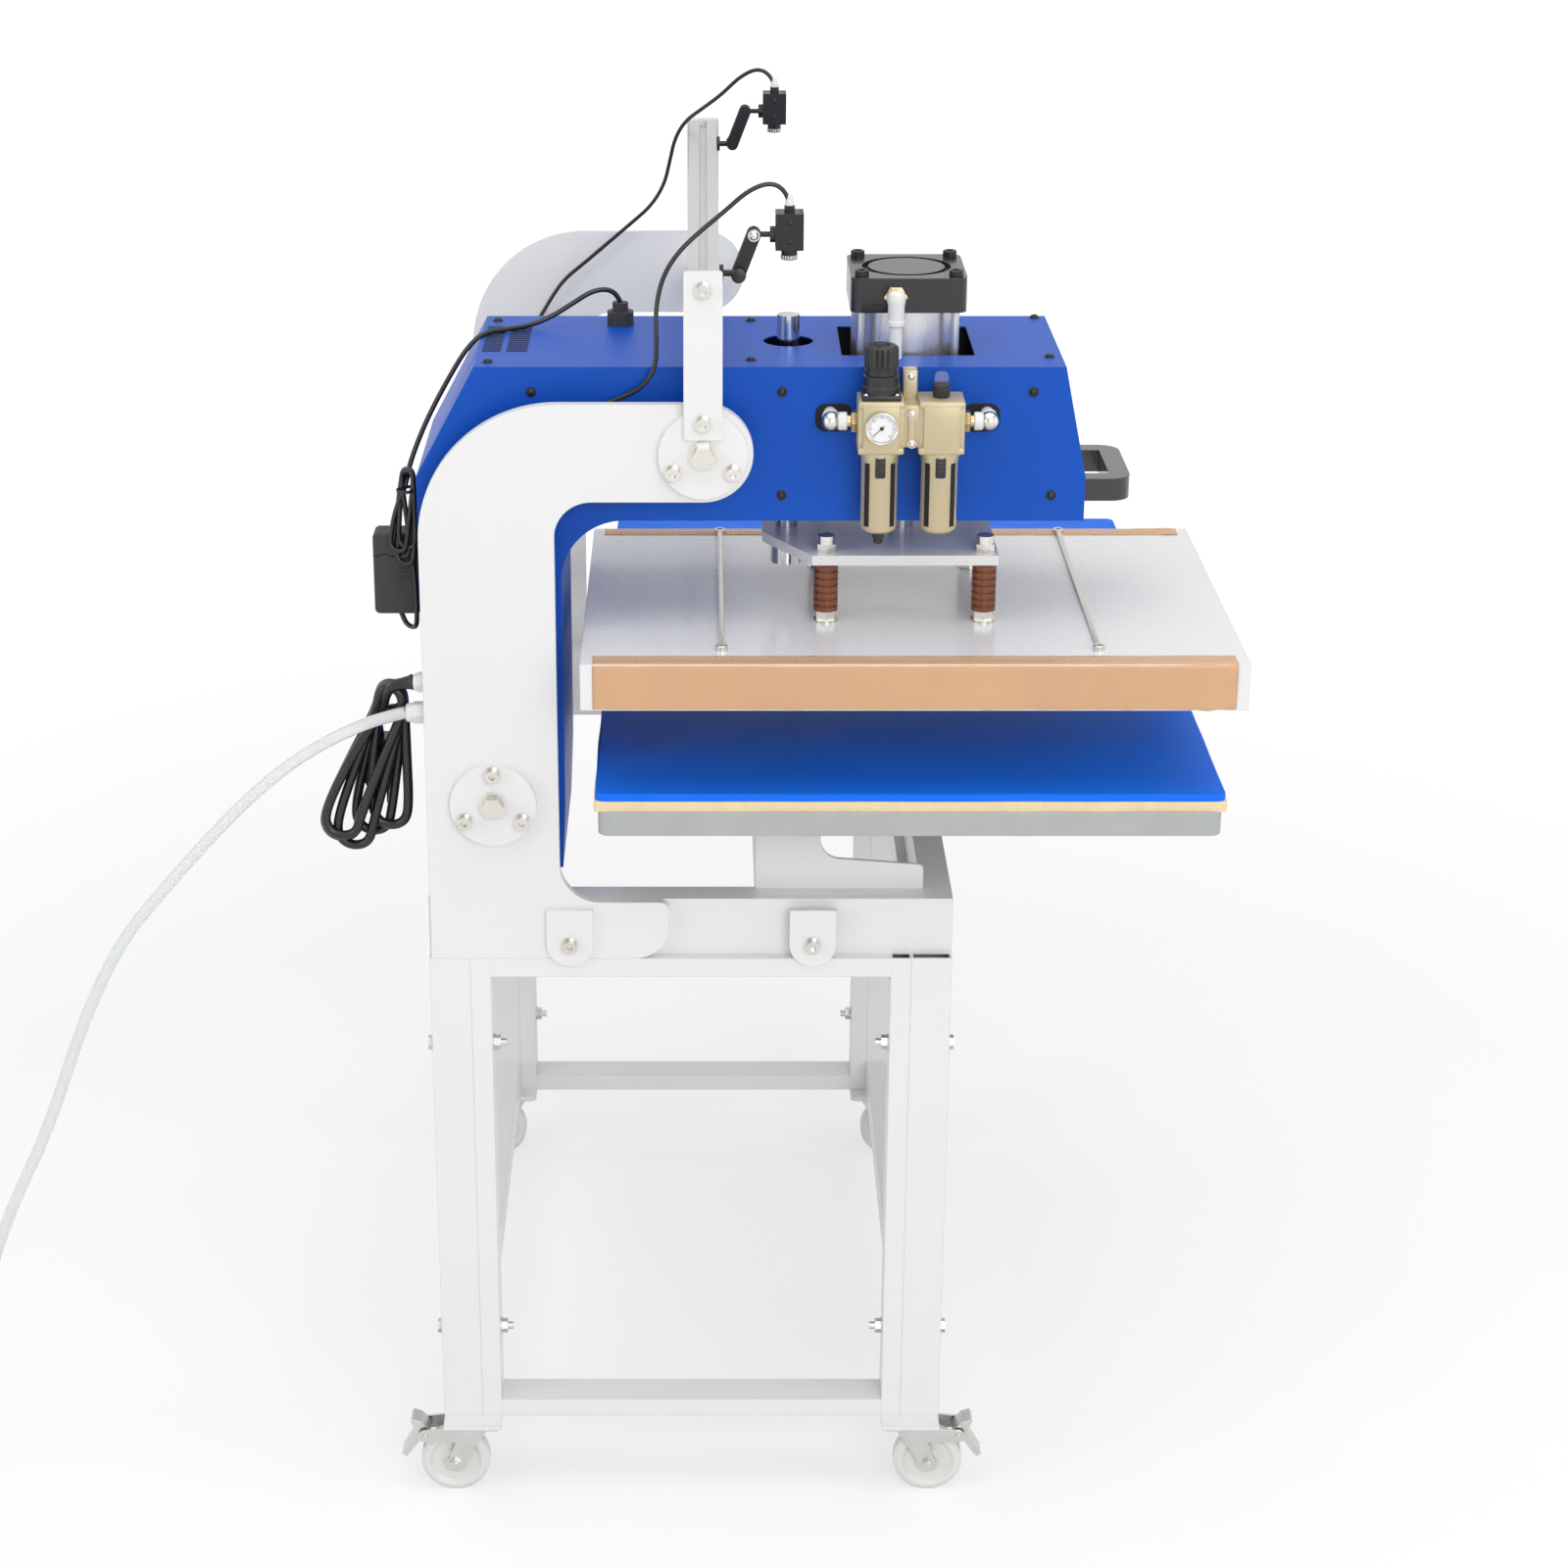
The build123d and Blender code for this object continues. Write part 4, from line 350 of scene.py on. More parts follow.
def rounded_slab(half_x, half_y, corner, low, high, edge, wave=0.0, seed=0.0):
    """Slab with round corners and a rolled top edge; wave moves its outline in and out."""
    shape = bmesh.new()
    outline = []
    for quarter, (side_x, side_y) in enumerate(((1, 1), (-1, 1), (-1, -1), (1, -1))):
        for step in range(CORNER_STEPS + 1):
            angle = (quarter + step / CORNER_STEPS) * pi / 2
            outline.append((side_x * (half_x - corner) + corner * cos(angle),
                            side_y * (half_y - corner) + corner * sin(angle)))
        ahead = ((-1, 1), (-1, -1), (1, -1), (1, 1))[quarter]
        start = outline[-1]
        angle = (quarter + 1) * pi / 2
        stop = (ahead[0] * (half_x - corner) + corner * cos(angle),
                ahead[1] * (half_y - corner) + corner * sin(angle))
        for step in range(1, SIDE_STEPS):
            share = step / SIDE_STEPS
            outline.append((start[0] + (stop[0] - start[0]) * share,
                            start[1] + (stop[1] - start[1]) * share))
    levels = [(0.0, low), (0.0, high - edge)]
    levels += [(edge * (1 - cos(angle)), high - edge * (1 - sin(angle)))
               for angle in (pi / 6, pi / 3, pi / 2)]
    rings = []
    for inset, height in levels:
        ring = []
        for x, y in outline:
            out = Vector((x / half_x, y / half_y, 0)).normalized()
            push = wave * noise.noise(Vector((x, y, seed)) * WAVES_PER_METRE) - inset
            ring.append(shape.verts.new((x + out.x * push, y + out.y * push, height)))
        rings.append(ring)
    for one, two in zip(rings, rings[1:]):
        for step in range(len(one)):
            after = (step + 1) % len(one)
            shape.faces.new((one[step], one[after], two[after], two[step]))
    shape.faces.new(rings[-1])
    shape.faces.new(list(reversed(rings[0])))
    return shape


def line_piece(name, points, radius, paint, body, fine=5):
    """Round wire, cord or hose along a smooth NURBS line."""
    line = bpy.data.curves.new(name, "CURVE")
    line.dimensions = "3D"
    line.bevel_depth = radius
    line.bevel_resolution = fine
    line.use_fill_caps = True
    line.resolution_u = 10
    spline = line.splines.new("NURBS")
    spline.points.add(len(points) - 1)
    for spot, point in zip(spline.points, points):
        spot.co = (*point, 1.0)
    spline.order_u = 3
    spline.use_endpoint_u = True
    line.materials.append(paint)
    piece = bpy.data.objects.new(name, line)
    bpy.context.scene.collection.objects.link(piece)
    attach(piece, body)
    return piece


def socket_head(radius, height):
    """Round screw head with a hexagonal socket."""
    socket = radius * 0.5
    return turned([(0, height * 0.35), (socket, height * 0.35, 6), (socket, height * 0.92, 6),
                   (socket * 1.12, height, 6), (radius * 0.88, height), (radius, height * 0.85),
                   (radius, 0), (0, 0)])


def pan_head(radius):
    """Domed screw head on its washer."""
    return turned([(0, radius * 0.62), (radius * 0.3, radius * 0.62), (radius * 0.7, radius * 0.5),
                   (radius, radius * 0.15), (radius, 0.0), (radius * 1.35, 0.0),
                   (radius * 1.35, -0.0006), (0, -0.0006)], 24)


def knurled(radius, height, ridges=24):
    """Thumb nut with a ridged rim."""
    shape = turned([(0, height), (radius * 0.8, height), (radius * 0.92, height * 0.9),
                    (radius * 0.92, height * 0.1), (radius * 0.8, 0), (0, 0)], ridges * 2)
    for vert in shape.verts:
        reach = Vector((vert.co.x, vert.co.y)).length
        if reach > radius * 0.9:
            angle = Vector((vert.co.x, vert.co.y)).angle_signed(Vector((1, 0)))
            if round(angle / (pi / ridges)) % 2:
                vert.co.x *= RIDGE_RISE
                vert.co.y *= RIDGE_RISE
    return shape


# Camera at the photograph's angle
PHOTO_SIZE = 1600
PHOTO_FOCUS = 3305.9
PHOTO_AXIS_X = 717.34
PHOTO_PITCH = 21.18
camera_data = bpy.data.cameras.new("photo_camera")
camera_data.sensor_width = 36.0
camera_data.lens = camera_data.sensor_width * PHOTO_FOCUS / PHOTO_SIZE
camera_data.shift_x = (PHOTO_SIZE / 2 - PHOTO_AXIS_X) / PHOTO_SIZE
camera = bpy.data.objects.new("photo_camera", camera_data)
camera.location = (-3.3206, 0.094, 1.9374)
camera.rotation_euler = (radians(90 - PHOTO_PITCH), 0, radians(-90))
bpy.context.scene.collection.objects.link(camera)
bpy.context.scene.camera = camera

# Floor, world and lamps
bpy.context.scene.view_settings.view_transform = "Standard"
floor_mesh = bpy.data.meshes.new("floor")
FLOOR_HALF = 60.0
FLOOR_GLOW_SHARE = 0.42
floor_mesh.from_pydata([(-FLOOR_HALF, -FLOOR_HALF, 0), (FLOOR_HALF, -FLOOR_HALF, 0),
                        (FLOOR_HALF, FLOOR_HALF, 0), (-FLOOR_HALF, FLOOR_HALF, 0)], [],
                       [(0, 1, 2, 3)])
floor = bpy.data.objects.new("floor", floor_mesh)
bpy.context.scene.collection.objects.link(floor)


def seen_ray(nodes, link):
    """1 for a ray that the camera, a mirror or a glass sends."""
    path = nodes.new("ShaderNodeLightPath")
    total = path.outputs["Is Camera Ray"]
    for kind in ("Is Glossy Ray", "Is Transmission Ray"):
        most = nodes.new("ShaderNodeMath")
        most.operation = "MAXIMUM"
        link(total, most.inputs[0])
        link(path.outputs[kind], most.inputs[1])
        total = most.outputs["Value"]
    return total


floor_paint = bpy.data.materials.new("floor_white")
floor_paint.use_nodes = True
nodes, link = floor_paint.node_tree.nodes, floor_paint.node_tree.links.new
nodes.remove(nodes["Principled BSDF"])
matt = nodes.new("ShaderNodeBsdfDiffuse")
matt.inputs["Color"].default_value = (0.82, 0.82, 0.82, 1)
glow = nodes.new("ShaderNodeEmission")
glow.inputs["Color"].default_value = (1, 1, 1, 1)
reach = nodes.new("ShaderNodeVectorMath")
reach.operation = "LENGTH"
link(nodes.new("ShaderNodeNewGeometry").outputs["Position"], reach.inputs[0])
fade = nodes.new("ShaderNodeMapRange")
fade.inputs["From Min"].default_value = 1.2
fade.inputs["From Max"].default_value = 5.0
fade.inputs["To Min"].default_value = 1.25
fade.inputs["To Max"].default_value = 2.2
link(reach.outputs["Value"], fade.inputs["Value"])
link(fade.outputs["Result"], glow.inputs["Strength"])
share = nodes.new("ShaderNodeMath")
share.operation = "MULTIPLY"
link(seen_ray(nodes, link), share.inputs[0])
share.inputs[1].default_value = FLOOR_GLOW_SHARE
blend = nodes.new("ShaderNodeMixShader")
link(share.outputs["Value"], blend.inputs[0])
link(matt.outputs["BSDF"], blend.inputs[1])
link(glow.outputs["Emission"], blend.inputs[2])
link(blend.outputs["Shader"], nodes["Material Output"].inputs["Surface"])
floor_mesh.materials.append(floor_paint)

world = bpy.data.worlds.new("studio")
bpy.context.scene.world = world
world.use_nodes = True
nodes, link = world.node_tree.nodes, world.node_tree.links.new
room = nodes["Background"]
room.inputs["Color"].default_value = (1, 1, 1, 1)
room.inputs["Strength"].default_value = 0.50
backdrop = nodes.new("ShaderNodeBackground")
backdrop.inputs["Color"].default_value = (0.9, 0.9, 0.9, 1)
mixed = nodes.new("ShaderNodeMixShader")
link(seen_ray(nodes, link), mixed.inputs[0])
link(room.outputs["Background"], mixed.inputs[1])
link(backdrop.outputs["Background"], mixed.inputs[2])
link(mixed.outputs["Shader"], nodes["World Output"].inputs["Surface"])


def lamp(name, place, aim, size, power):
    """Rectangular area lamp that faces aim."""
    data = bpy.data.lights.new(name, "AREA")
    data.shape = "RECTANGLE"
    data.size, data.size_y = size
    data.energy = power
    made = bpy.data.objects.new(name, data)
    made.location = place
    made.rotation_euler = (Vector(aim) - Vector(place)).to_track_quat("-Z", "Y").to_euler()
    bpy.context.scene.collection.objects.link(made)


MACHINE_MIDDLE = (-0.1, 0.0, 0.8)
lamp("top_box", (-0.6, 0.0, 4.2), MACHINE_MIDDLE, (4.0, 4.0), 66)
lamp("camera_box", (-4.6, -1.2, 2.6), MACHINE_MIDDLE, (2.6, 2.2), 76)
lamp("left_box", (-2.6, 4.0, 2.0), MACHINE_MIDDLE, (2.0, 2.6), 34)
lamp("right_box", (-1.6, -4.2, 2.2), MACHINE_MIDDLE, (2.0, 2.6), 34)

# Cords
HOSE_RADIUS = 0.006
hose_route = [
    (-0.3795, 0.381, 0.872), (-0.380, 0.406, 0.866), (-0.383, 0.433, 0.856),
    (-0.386, 0.464, 0.841), (-0.389, 0.500, 0.818), (-0.391, 0.541, 0.782),
    (-0.393, 0.584, 0.737), (-0.395, 0.628, 0.687), (-0.396, 0.664, 0.643),
    (-0.397, 0.693, 0.590), (-0.398, 0.719, 0.530), (-0.398, 0.741, 0.468),
    (-0.399, 0.764, 0.412), (-0.399, 0.789, 0.362), (-0.398, 0.812, 0.308),
    (-0.397, 0.833, 0.248), (-0.396, 0.856, 0.188), (-0.394, 0.885, 0.130),
    (-0.393, 0.920, 0.078), (-0.391, 0.962, 0.036), (-0.390, 1.008, 0.012),
    (-0.390, 1.050, 0.006),
]
COIL_X, COIL_Y = -0.318, 1.080
COIL_STEPS = 12
COIL_PITCH = 2 * HOSE_RADIUS
COIL_OUTER = 0.072
# A spline of this order runs at this share of its control points' radius
COIL_PULL = (1 + cos(tau / COIL_STEPS)) / 2 * 0.5 + 0.5


def coil_point(turns, radius, height):
    """Control point of the coil after a number of clockwise turns."""
    angle = pi - tau * turns
    reach = radius / COIL_PULL
    return (COIL_X + reach * cos(angle), COIL_Y + reach * sin(angle), height)


lower_turns, rise_turns, upper_turns = 2.0, 0.5, 11 / 6
low_z, high_z = HOSE_RADIUS, 3 * HOSE_RADIUS
for step in range(int(lower_turns * COIL_STEPS) + 1):
    turns = step / COIL_STEPS
    hose_route.append(coil_point(turns, COIL_OUTER - COIL_PITCH * turns, low_z))
inner = COIL_OUTER - COIL_PITCH * lower_turns
for step in range(1, int(rise_turns * COIL_STEPS) + 1):
    share = step / (rise_turns * COIL_STEPS)
    hose_route.append(coil_point(lower_turns + step / COIL_STEPS, inner - 0.002 * sin(pi * share),
                                 low_z + (high_z - low_z) * share))
for step in range(1, int(upper_turns * COIL_STEPS) + 1):
    turns = step / COIL_STEPS
    hose_route.append(coil_point(lower_turns + rise_turns + turns, inner + COIL_PITCH * turns,
                                 high_z))
coupler_low, coupler_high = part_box("hose_coupler")
coupler_x = (coupler_low.x + coupler_high.x) / 2
coupler_z = (coupler_low.z + coupler_high.z) / 2
hose_route += [(coupler_x - 0.009, coupler_high.y + 0.026, high_z + 0.007),
               (coupler_x - 0.001, coupler_high.y + 0.012, coupler_z - 0.004),
               (coupler_x, coupler_high.y + 0.002, coupler_z),
               (coupler_x, coupler_high.y - 0.008, coupler_z)]
hose = line_piece("air_line", hose_route, HOSE_RADIUS, HOSE, "stand", fine=8)
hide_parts("air_hose", "hose_coil")

MAINS_RADIUS = 0.00475
mains_route = [(-0.3795, 0.373, 0.903), (-0.377, 0.385, 0.901), (-0.371, 0.396, 0.894),
               (-0.364, 0.402, 0.882), (-0.360, 0.404, 0.870)]
MAINS_TOP = Vector((-0.358, 0.397, 0.8785))
hank_feet = [(-0.3655, 0.448, 0.757), (-0.3610, 0.437, 0.745), (-0.3565, 0.450, 0.752),
             (-0.3520, 0.419, 0.757), (-0.3600, 0.401, 0.766)]


LOOP_DEPTH = 0.0035
BULGE = 1.08


def hank_points(top, top_radius, feet, foot_radius):
    """Control points of tied loops that hang from one place: down at the rear, up at the front."""
    points = []
    slant = BULGE * 0.5 ** 0.5
    for depth, foot_y, foot_z in feet:
        loop = [((top.y + foot_y + top_radius + foot_radius) / 2, (top.z + foot_z) / 2)]
        loop += [(foot_y + foot_radius * a, foot_z + foot_radius * b)
                 for a, b in ((1, 0.2), (slant, -slant), (0, -BULGE), (-slant, -slant),
                              (-1, 0.2))]
        loop += [((top.y + foot_y - top_radius - foot_radius) / 2, (top.z + foot_z) / 2)]
        loop += [(top.y + top_radius * a, top.z + top_radius * b)
                 for a, b in ((-1, -0.6), (-slant, slant), (0, BULGE), (slant, slant),
                              (1, -0.6))]
        for step, (y, z) in enumerate(loop):
            points.append((depth + LOOP_DEPTH * cos(tau * step / len(loop)), y, z))
    return points


mains_route += hank_points(MAINS_TOP, 0.0135, hank_feet, 0.0185)
mains_route += [(-0.349, 0.411, 0.858), (-0.340, 0.413, 0.848), (-0.333, 0.4125, 0.839),
                (-0.332, 0.412, 0.829)]
mains = line_piece("mains_lead", mains_route, MAINS_RADIUS, JACKET, "stand", fine=8)
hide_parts("mains_cord", "mains_hank")
mains_relief = finished("mains_relief", turned(
    [(0, 0.000), (0.0075, 0.000), (0.0078, 0.002), (0.0066, 0.004), (0.0066, 0.0055),
     (0.0060, 0.0075), (0.0060, 0.009), (0.0055, 0.011), (0.0052, 0.017), (0.0050, 0.021),
     (0, 0.021)]), BLACK_PLASTIC, "stand", (-0.3795, 0.3725, 0.9032), (0.05, 1, -0.16))

LASER_RADIUS = 0.0022
laser_routes = {
    "near": [(-0.340, 0.01402, 1.3562), (-0.3405, 0.017, 1.368), (-0.341, 0.031, 1.377),
             (-0.343, 0.052, 1.370), (-0.346, 0.075, 1.350), (-0.350, 0.098, 1.332),
             (-0.356, 0.118, 1.314), (-0.362, 0.132, 1.292), (-0.368, 0.138, 1.264),
             (-0.373, 0.137, 1.236), (-0.375, 0.138, 1.210), (-0.375, 0.150, 1.192),
             (-0.375, 0.172, 1.181), (-0.374, 0.196, 1.173), (-0.374, 0.218, 1.164),
             (-0.379, 0.231, 1.158), (-0.390, 0.238, 1.154)],
    "far": [(0.340, 0.01402, 1.3562), (0.3405, 0.018, 1.368), (0.341, 0.033, 1.376),
            (0.343, 0.053, 1.366), (0.346, 0.073, 1.346), (0.350, 0.094, 1.330),
            (0.356, 0.114, 1.315), (0.363, 0.126, 1.294), (0.369, 0.132, 1.266),
            (0.374, 0.138, 1.240), (0.376, 0.153, 1.215), (0.377, 0.176, 1.195),
            (0.377, 0.203, 1.172), (0.377, 0.229, 1.150), (0.376, 0.254, 1.130),
            (0.377, 0.268, 1.110), (0.381, 0.277, 1.094), (0.390, 0.283, 1.083)],
}
for end, route in laser_routes.items():
    lead = line_piece(f"{end}_laser_lead", route, LASER_RADIUS, JACKET, "stand")
    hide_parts(f"{end}_laser_cable")

ADAPTER_RADIUS = 0.0025
adapter_route = [(-0.191, 0.175, 1.231), (-0.192, 0.178, 1.239), (-0.194, 0.188, 1.245),
                 (-0.197, 0.203, 1.243), (-0.201, 0.220, 1.233), (-0.206, 0.240, 1.221),
                 (-0.213, 0.262, 1.213), (-0.226, 0.286, 1.212), (-0.244, 0.307, 1.213),
                 (-0.260, 0.322, 1.201), (-0.276, 0.335, 1.182), (-0.292, 0.348, 1.161),
                 (-0.308, 0.359, 1.141), (-0.324, 0.368, 1.121), (-0.337, 0.374, 1.104),
                 (-0.346, 0.377, 1.088)]
BUNDLE_TOP = Vector((-0.348, 0.3745, 1.099))
bundle_feet = [(-0.3500, 0.3850, 1.034), (-0.3455, 0.3830, 1.027), (-0.3490, 0.3785, 1.021),
               (-0.3445, 0.3800, 1.030), (-0.3505, 0.3765, 1.038)]
adapter_route += hank_points(BUNDLE_TOP, 0.0060, bundle_feet, 0.0085)
adapter_route += [(-0.347, 0.377, 1.060), (-0.347, 0.372, 1.015), (-0.347, 0.370, 0.985),
                  (-0.346, 0.370, 0.962), (-0.341, 0.371, 0.948), (-0.334, 0.375, 0.943),
                  (-0.329, 0.382, 0.945), (-0.326, 0.386, 0.953), (-0.326, 0.388, 0.959)]
adapter_lead = line_piece("adapter_lead", adapter_route, ADAPTER_RADIUS, JACKET, "head")
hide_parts("adapter_cord", "adapter_hank")

# Pads and felt beds
STATION_X, STATION_Y = 0.260, -0.103
pad_low, pad_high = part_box("silicone_pads")
felt_low, felt_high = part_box("felt_layers")
for end, side in (("near", -1), ("far", 1)):
    pad = finished(f"{end}_pad", rounded_slab(0.200, 0.300, 0.009, pad_low.z, pad_high.z, 0.0028,
                                              0.0007, side), PAD_BLUE, "stand",
                   (side * STATION_X, STATION_Y, 0))
    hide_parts("silicone_pads")
    felt = finished(f"{end}_felt", rounded_slab(0.2010, 0.3010, 0.004, felt_low.z, felt_high.z,
                                                0.0015, 0.0011, side + 5), CREAM, "stand",
                    (side * STATION_X, STATION_Y, 0))
    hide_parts("felt_layers")

# Sleeve: one strip round the platen, hemmed on top along both long edges
sleeve_low, sleeve_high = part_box("platen_sleeve")
HEM = 0.020
HEM_STEP = 0.004
ROUND = 0.0035
SKIN = 0.0004
STITCHES = 120
left, right = sleeve_low.x + SKIN, sleeve_high.x - SKIN
under, over = sleeve_low.z + SKIN, sleeve_high.z - SKIN


def sleeve_path():
    """Points across the strip with their outward directions, hem to hem."""
    rows = [((left + HEM + HEM_STEP - step * HEM_STEP, over), (0, 1)) for step in range(6)]

    def corner(x, z, first):
        for step in range(7):
            angle = radians(first + 90 * step / 6)
            out = (cos(angle), sin(angle))
            rows.append(((x + ROUND * out[0], z + ROUND * out[1]), out))

    def run(start, stop, out, count):
        for step in range(1, count):
            at = step / count
            rows.append(((start[0] + (stop[0] - start[0]) * at,
                          start[1] + (stop[1] - start[1]) * at), out))

    corner(left + ROUND, over - ROUND, 90)
    run((left, over - ROUND), (left, under + ROUND), (-1, 0), 10)
    corner(left + ROUND, under + ROUND, 180)
    run((left + ROUND, under), (right - ROUND, under), (0, -1), 60)
    corner(right - ROUND, under + ROUND, 270)
    run((right, under + ROUND), (right, over - ROUND), (1, 0), 10)
    corner(right - ROUND, over - ROUND, 0)
    rows.extend(((right - HEM_STEP - step * HEM_STEP, over), (0, 1)) for step in range(6))
    return rows


SLEEVE_STEPS = 150
SMOOTH_WRINKLE, END_WRINKLE, END_REACH = 0.0003, 0.0013, 0.045
shape = bmesh.new()
grid = []
path = sleeve_path()
along = 0.0  # at the end, the strip's whole width
for index, ((x, z), (out_x, out_z)) in enumerate(path):
    if index:
        along += Vector((x - path[index - 1][0][0], z - path[index - 1][0][1])).length
    row = []
    for step in range(SLEEVE_STEPS + 1):
        y = sleeve_low.y + (sleeve_high.y - sleeve_low.y) * step / SLEEVE_STEPS
        loose = SMOOTH_WRINKLE + END_WRINKLE * 2 ** (-((y - sleeve_low.y) / END_REACH) ** 2)
        push = max(-SKIN / 2, loose * (noise.noise(Vector((along * 16, y * 55, 2))) + 0.25))
        row.append(shape.verts.new((x + out_x * push, y, z + out_z * push)))
    grid.append(row)
for one, two in zip(grid, grid[1:]):
    for step in range(SLEEVE_STEPS):
        shape.faces.new((one[step], two[step], two[step + 1], one[step + 1]))
sleeve = finished("coated_sleeve", shape, SLEEVE, "press", sharp=60)
skin = sleeve.modifiers.new("skin", "SOLIDIFY")
skin.thickness = 0.0005
skin.offset = 0
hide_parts("platen_sleeve")
shape = bmesh.new()
for x in (left + 0.016, right - 0.016):
    for step in range(STITCHES):
        y = sleeve_low.y + 0.0025 + step * (sleeve_high.y - sleeve_low.y) / STITCHES
        stitch = bmesh.ops.create_cube(shape, size=1.0)["verts"]
        bmesh.ops.scale(shape, vec=(0.0006, 0.0032, 0.0006), verts=stitch)
        bmesh.ops.translate(shape, vec=(x, y, over + 0.0005), verts=stitch)
stitches = finished("sleeve_stitches", shape, THREAD, "press")

# Platen: hold-down rods with their end screws
for name, y in (("rear", 0.0765), ("front", -0.278)):
    rod = [(x, y, PLATEN_TOP_Z + 0.0028) for x in (-0.435, -0.34, -0.15, -0.060)]
    line_piece(f"platen_rod_{name}", rod, 0.0026, SCREW, "press")
    for end, x in (("near", -0.437), ("far", -0.058)):
        finished(f"platen_screw_{name}_{end}", socket_head(0.0055, 0.0055), SCREW, "press",
                 (x, y, PLATEN_TOP_Z))

# Cylinder: corner screws, port bushing and the elbow that feeds it
CYLINDER_X, CYLINDER_Y = -0.260, -0.100
PORT_Y, CAP_PORT_Z = -0.087, 1.2645
for end, side_x in (("near", -1), ("far", 1)):
    for row, side_y in (("rear", 1), ("front", -1)):
        finished(f"cap_screw_{end}_{row}", socket_head(0.0068, 0.0065), BLACK_METAL, "head",
                 (CYLINDER_X + side_x * 0.0445, CYLINDER_Y + side_y * 0.0445, CAP_TOP_Z - 0.0005))
shape = turned([(0, 0), (0.0092, 0, 6), (0.0098, 0.001, 6), (0.0098, 0.007, 6), (0.0086, 0.0084),
                (0.0070, 0.0084), (0.0070, 0.0125), (0, 0.0125)])
finished("cap_bushing", shape, BRASS, "head", (CYLINDER_X - 0.055, PORT_Y, CAP_PORT_Z), (-1, 0, 0))
shape = turned([(0, 0.009), (0.004, 0.0085), (0.0075, 0.006), (0.0085, 0.002), (0.0085, -0.002),
                (0.0078, -0.006), (0.0078, -0.019), (0.0085, -0.020), (0.0085, -0.024),
                (0.0062, -0.0255), (0.0062, -0.058), (0, -0.058)])
finished("cap_elbow", shape, NYLON, "head", (CYLINDER_X - 0.0705, PORT_Y, CAP_PORT_Z))

# Head: vents and the openings for the air lines, drawn as dark patches of painted shade, and panel
# screws
VENT_START_X, VENT_PITCH, VENTS = -0.204, 0.0082, 13
shape = bmesh.new()
for row_y, half in ((0.295, 0.0090), (0.271, 0.0100)):
    for step in range(VENTS):
        block((0.0034, 2 * half, 0.0008), 0.0003, 1,
              (VENT_START_X - step * VENT_PITCH, row_y, HEAD_TOP_Z + 0.0001), shape)
finished("head_vents", shape, OPENING_SHADE_AND_SEAM, "head")
for number, (x, y) in enumerate(((-0.175, 0.047), (-0.337, 0.049), (-0.162, -0.234),
                                 (-0.325, -0.233), (-0.345, 0.296), (-0.175, 0.296))):
    finished(f"head_screw_{number}", pan_head(0.0042), BLACK_METAL, "head",
             (x, y, HEAD_TOP_Z + 0.0006))
for name, y in (("rear", -0.0285), ("front", -0.167)):
    finished(f"cover_opening_{name}", rounded_slab(0.0175, 0.0135, 0.010, 0, 0.0007, 0.0003),
             OPENING_SHADE_AND_SEAM, "head", (HEAD_NEAR_X + 0.0001, y, 1.1605), (-1, 0, 0))
for number, (y, z) in enumerate(((0.255, 1.185), (0.02, 1.185), (-0.215, 1.185), (-0.235, 1.085),
                                 (0.02, 1.085))):
    finished(f"cover_screw_{number}", pan_head(0.0036), BLACK_METAL, "head",
             (HEAD_NEAR_X - 0.0006, y, z), (-1, 0, 0))

# Air unit: regulator with gauge and knob, lubricator with sight dome
AIR_X = (KNOB_LOW.x + KNOB_HIGH.x) / 2
REGULATOR_Y = (KNOB_LOW.y + KNOB_HIGH.y) / 2
AIR_PITCH = 0.056
LUBRICATOR_Y = REGULATOR_Y - AIR_PITCH
BLOCK, BLOCK_LOW, BLOCK_HIGH = 0.043, 1.138, 1.188
PORT_Z = BLOCK_LOW + 0.027
shape = bmesh.new()
NECK_LOW = BLOCK_LOW - 0.004
for y in (REGULATOR_Y, LUBRICATOR_Y):
    middle = (BLOCK_LOW + BLOCK_HIGH) / 2
    block((BLOCK, BLOCK - 0.009, 0.046), 0.0012, 2, (AIR_X, y, middle), shape)
    block((BLOCK - 0.009, BLOCK, 0.046), 0.0012, 2, (AIR_X, y, middle), shape)
    rim = BLOCK - 0.0004
    block((rim, rim, 0.0065), 0.0018, 3, (AIR_X, y, BLOCK_LOW + 0.0033), shape)
    block((rim, rim, 0.0060), 0.0018, 3, (AIR_X, y, BLOCK_HIGH - 0.003), shape)
    turned([(0, BLOCK_LOW), (0.0195, BLOCK_LOW), (0.0195, NECK_LOW), (0, NECK_LOW)],
           shape=shape, place=(AIR_X, y, 0))
between_y = (REGULATOR_Y + LUBRICATOR_Y) / 2
block((BLOCK - 0.010, 0.015, 0.040), 0.0010, 2, (AIR_X, between_y, BLOCK_LOW + 0.026), shape)
block((BLOCK - 0.004, 0.0065, 0.034), 0.0012, 2, (AIR_X, between_y, BLOCK_LOW + 0.026), shape)
block((0.0165, 0.0135, 0.060), 0.0015, 2,
      (HEAD_NEAR_X - 0.0085, between_y, BLOCK_LOW + 0.042), shape)
air_blocks = finished("air_blocks", shape, AIR_BEIGE, "head")
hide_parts("air_unit")
for number, (x, z) in enumerate(((HEAD_NEAR_X - 0.0170, 1.2035), (AIR_X - 0.0199, 1.176),
                                 (AIR_X - 0.0199, 1.148))):
    finished(f"spacer_screw_{number}", pan_head(0.0030), SCREW, "head",
             (x, between_y - 0.0006, z), (-1, 0, 0))
